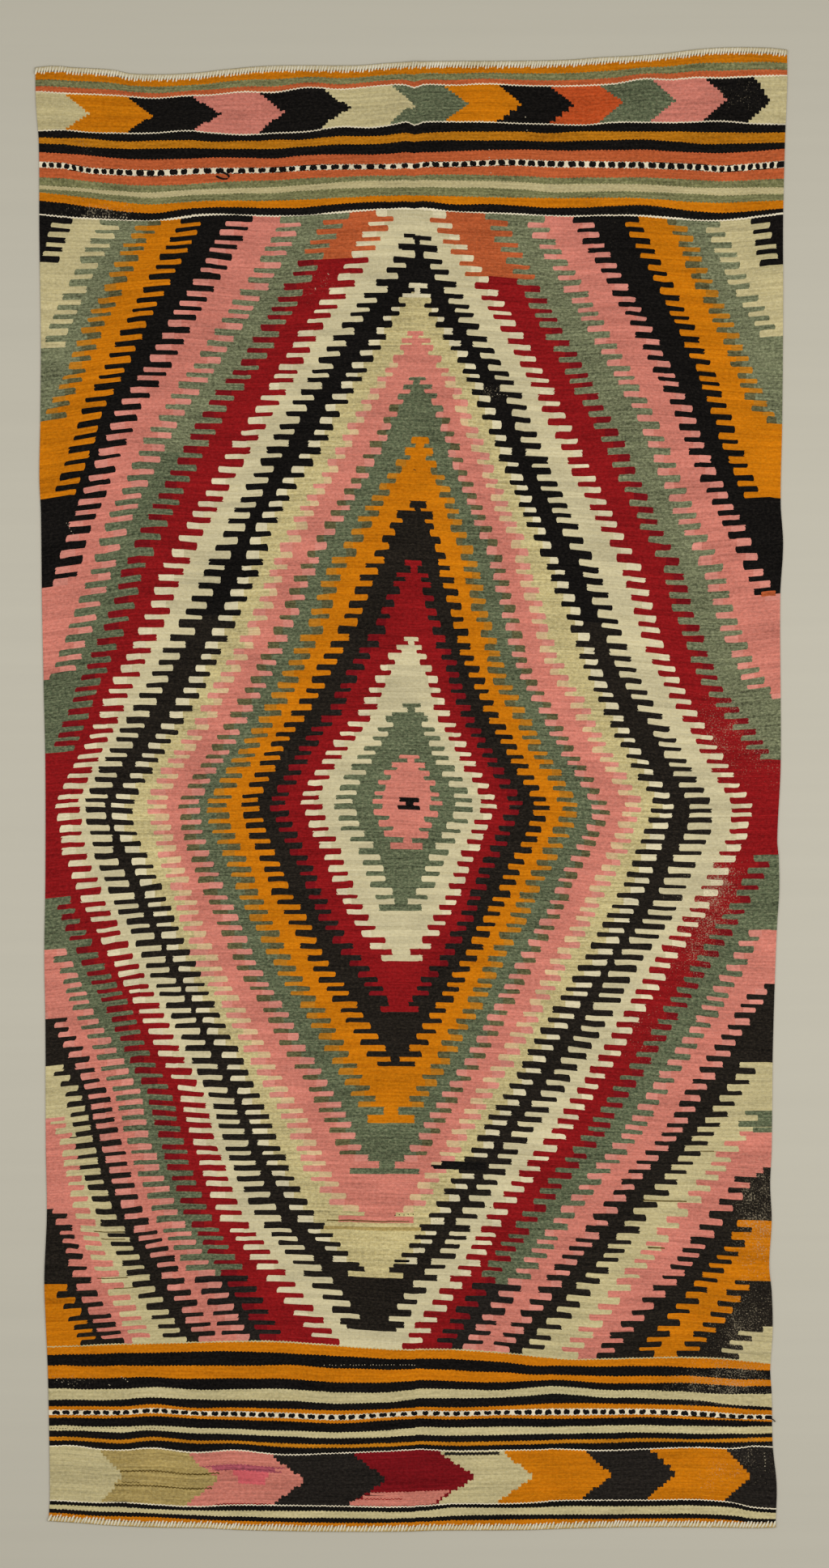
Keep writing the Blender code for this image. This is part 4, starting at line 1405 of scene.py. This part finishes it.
def loose_bits():
    """The stray yarn ends, and the dots where bare warp or lint shows."""
    rng = random.Random(3)
    points, faces = [], []
    for half_width, *yarn in YARNS:
        path = []
        for i in range(len(yarn) * 3 - 2):
            x, y, z = (float(np.interp(i / 3, range(len(yarn)), part)) for part in zip(*yarn))
            path.append((over_cloth(x, y, (z + 0.5) / 1000), half_width / 1000, YARN_HALF_HEIGHT))
        tube(points, faces, path, (0.6, 0.8))
    kinds = [0] * len(faces)
    for dye, x0, y0, x1, y1, spacing, half_width, half_height in each(TICKS):
        count = max(int(((x1 - x0) ** 2 + (y1 - y0) ** 2) ** 0.5 / spacing), 1)
        for i in range(count + 1):
            if count > 4 and rng.random() < 0.22:
                continue
            x = x0 + (x1 - x0) * i / count + rng.uniform(-0.5, 0.5)
            y = y0 + (y1 - y0) * i / count + rng.uniform(-0.4, 0.4)
            wide, tall = half_width * rng.uniform(0.7, 1.2), half_height * rng.uniform(0.7, 1.2)
            first = len(points)
            for side in range(6):
                turn = 2 * pi * side / 6
                points.append(over_cloth(x + wide * cos(turn), y + tall * sin(turn), -0.0002))
            points.append(over_cloth(x, y, 0.0006))
            points.append(over_cloth(x, y, -0.0002))
            for side in range(6):
                a, b = first + side, first + (side + 1) % 6
                faces += [(b, a, first + 6), (a, b, first + 7)]
                kinds += [TICK_DYES.index(dye)] * 2
    made = piece("loose_bits", points, faces, [
        twisted_wool("yarn_black", (24, 21, 19), (12, 11, 10)),
        twisted_wool("bare_warp", (206, 194, 168), (170, 156, 128)),
        twisted_wool("yarn_charcoal", (44, 38, 32), (26, 22, 18)),
        twisted_wool("yarn_olive", (112, 98, 56), (84, 72, 38)),
    ], kinds)
    return made


# ---------------------------------------------------------------- pieces
cloth = weave()
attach(cloth, "root")
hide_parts("kilim_cloth")
STITCH_WOOL = twisted_wool("overcast_stitch", (232, 225, 204), (204, 193, 162))
TOP_CORD = twisted_wool("overcast_cord_pale", (206, 194, 160), (178, 162, 122))
BOTTOM_CORD = twisted_wool("overcast_cord_gold", (202, 176, 116), (176, 142, 74))
bindings = [
    overcast("end_overcast_top", TOP_CORD, top_line, 1, 0.0050, 0.0034, 0.0058),
    overcast("end_overcast_bottom", BOTTOM_CORD, bottom_line, -1, 0.0040, 0.0060, 0.0066),
]
bits = loose_bits()

# ---------------------------------------------------------------- floor, light, camera
FLOOR_HALF = 14.0
FLOOR_DROP = 0.0004  # keeps the floor clear of the cloth's under face
LENS, SENSOR = 85.0, 36.0


def floor():
    mesh = bpy.data.meshes.new("floor")
    corners = [(x * FLOOR_HALF, y * FLOOR_HALF, 0) for x, y in ((-1, -1), (1, -1), (1, 1), (-1, 1))]
    mesh.from_pydata(corners, [], [(0, 1, 2, 3)])
    made = add_object("floor", mesh)
    made.location.z = -FLOOR_DROP
    mesh.materials.append(plain("floor_paint", (187, 182, 166), 0.8))


def area(name, place, size, power):
    """A square lamp that looks at the rug's middle."""
    light = bpy.data.lights.new(name, "AREA")
    light.shape = "RECTANGLE"
    light.size = light.size_y = size
    light.energy = power
    made = add_object(name, light)
    made.location = place
    made.rotation_mode = "QUATERNION"
    made.rotation_quaternion = (-Vector(place)).to_track_quat("-Z", "Y")


floor()
area("key", (-1.8, 0.2, 3.2), 2.4, 46.5)
area("fill", (2.2, -0.1, 3.2), 3.0, 78.0)

world = bpy.data.worlds.new("studio")
bpy.context.scene.world = world
world.use_nodes = True
background = world.node_tree.nodes["Background"].inputs
background["Color"].default_value = (1.0, 0.99, 0.97, 1.0)
background["Strength"].default_value = 0.42

camera = bpy.data.cameras.new("camera")
camera.lens = LENS
camera.sensor_width = SENSOR
seen = add_object("camera", camera)
seen.location = (
    *in_metres(PHOTO_SIZE[0] / 2, PHOTO_SIZE[1] / 2), PHOTO_SIZE[1] * SQUARE * LENS / SENSOR,
)
bpy.context.scene.camera = seen
bpy.context.scene.view_settings.view_transform = "Standard"
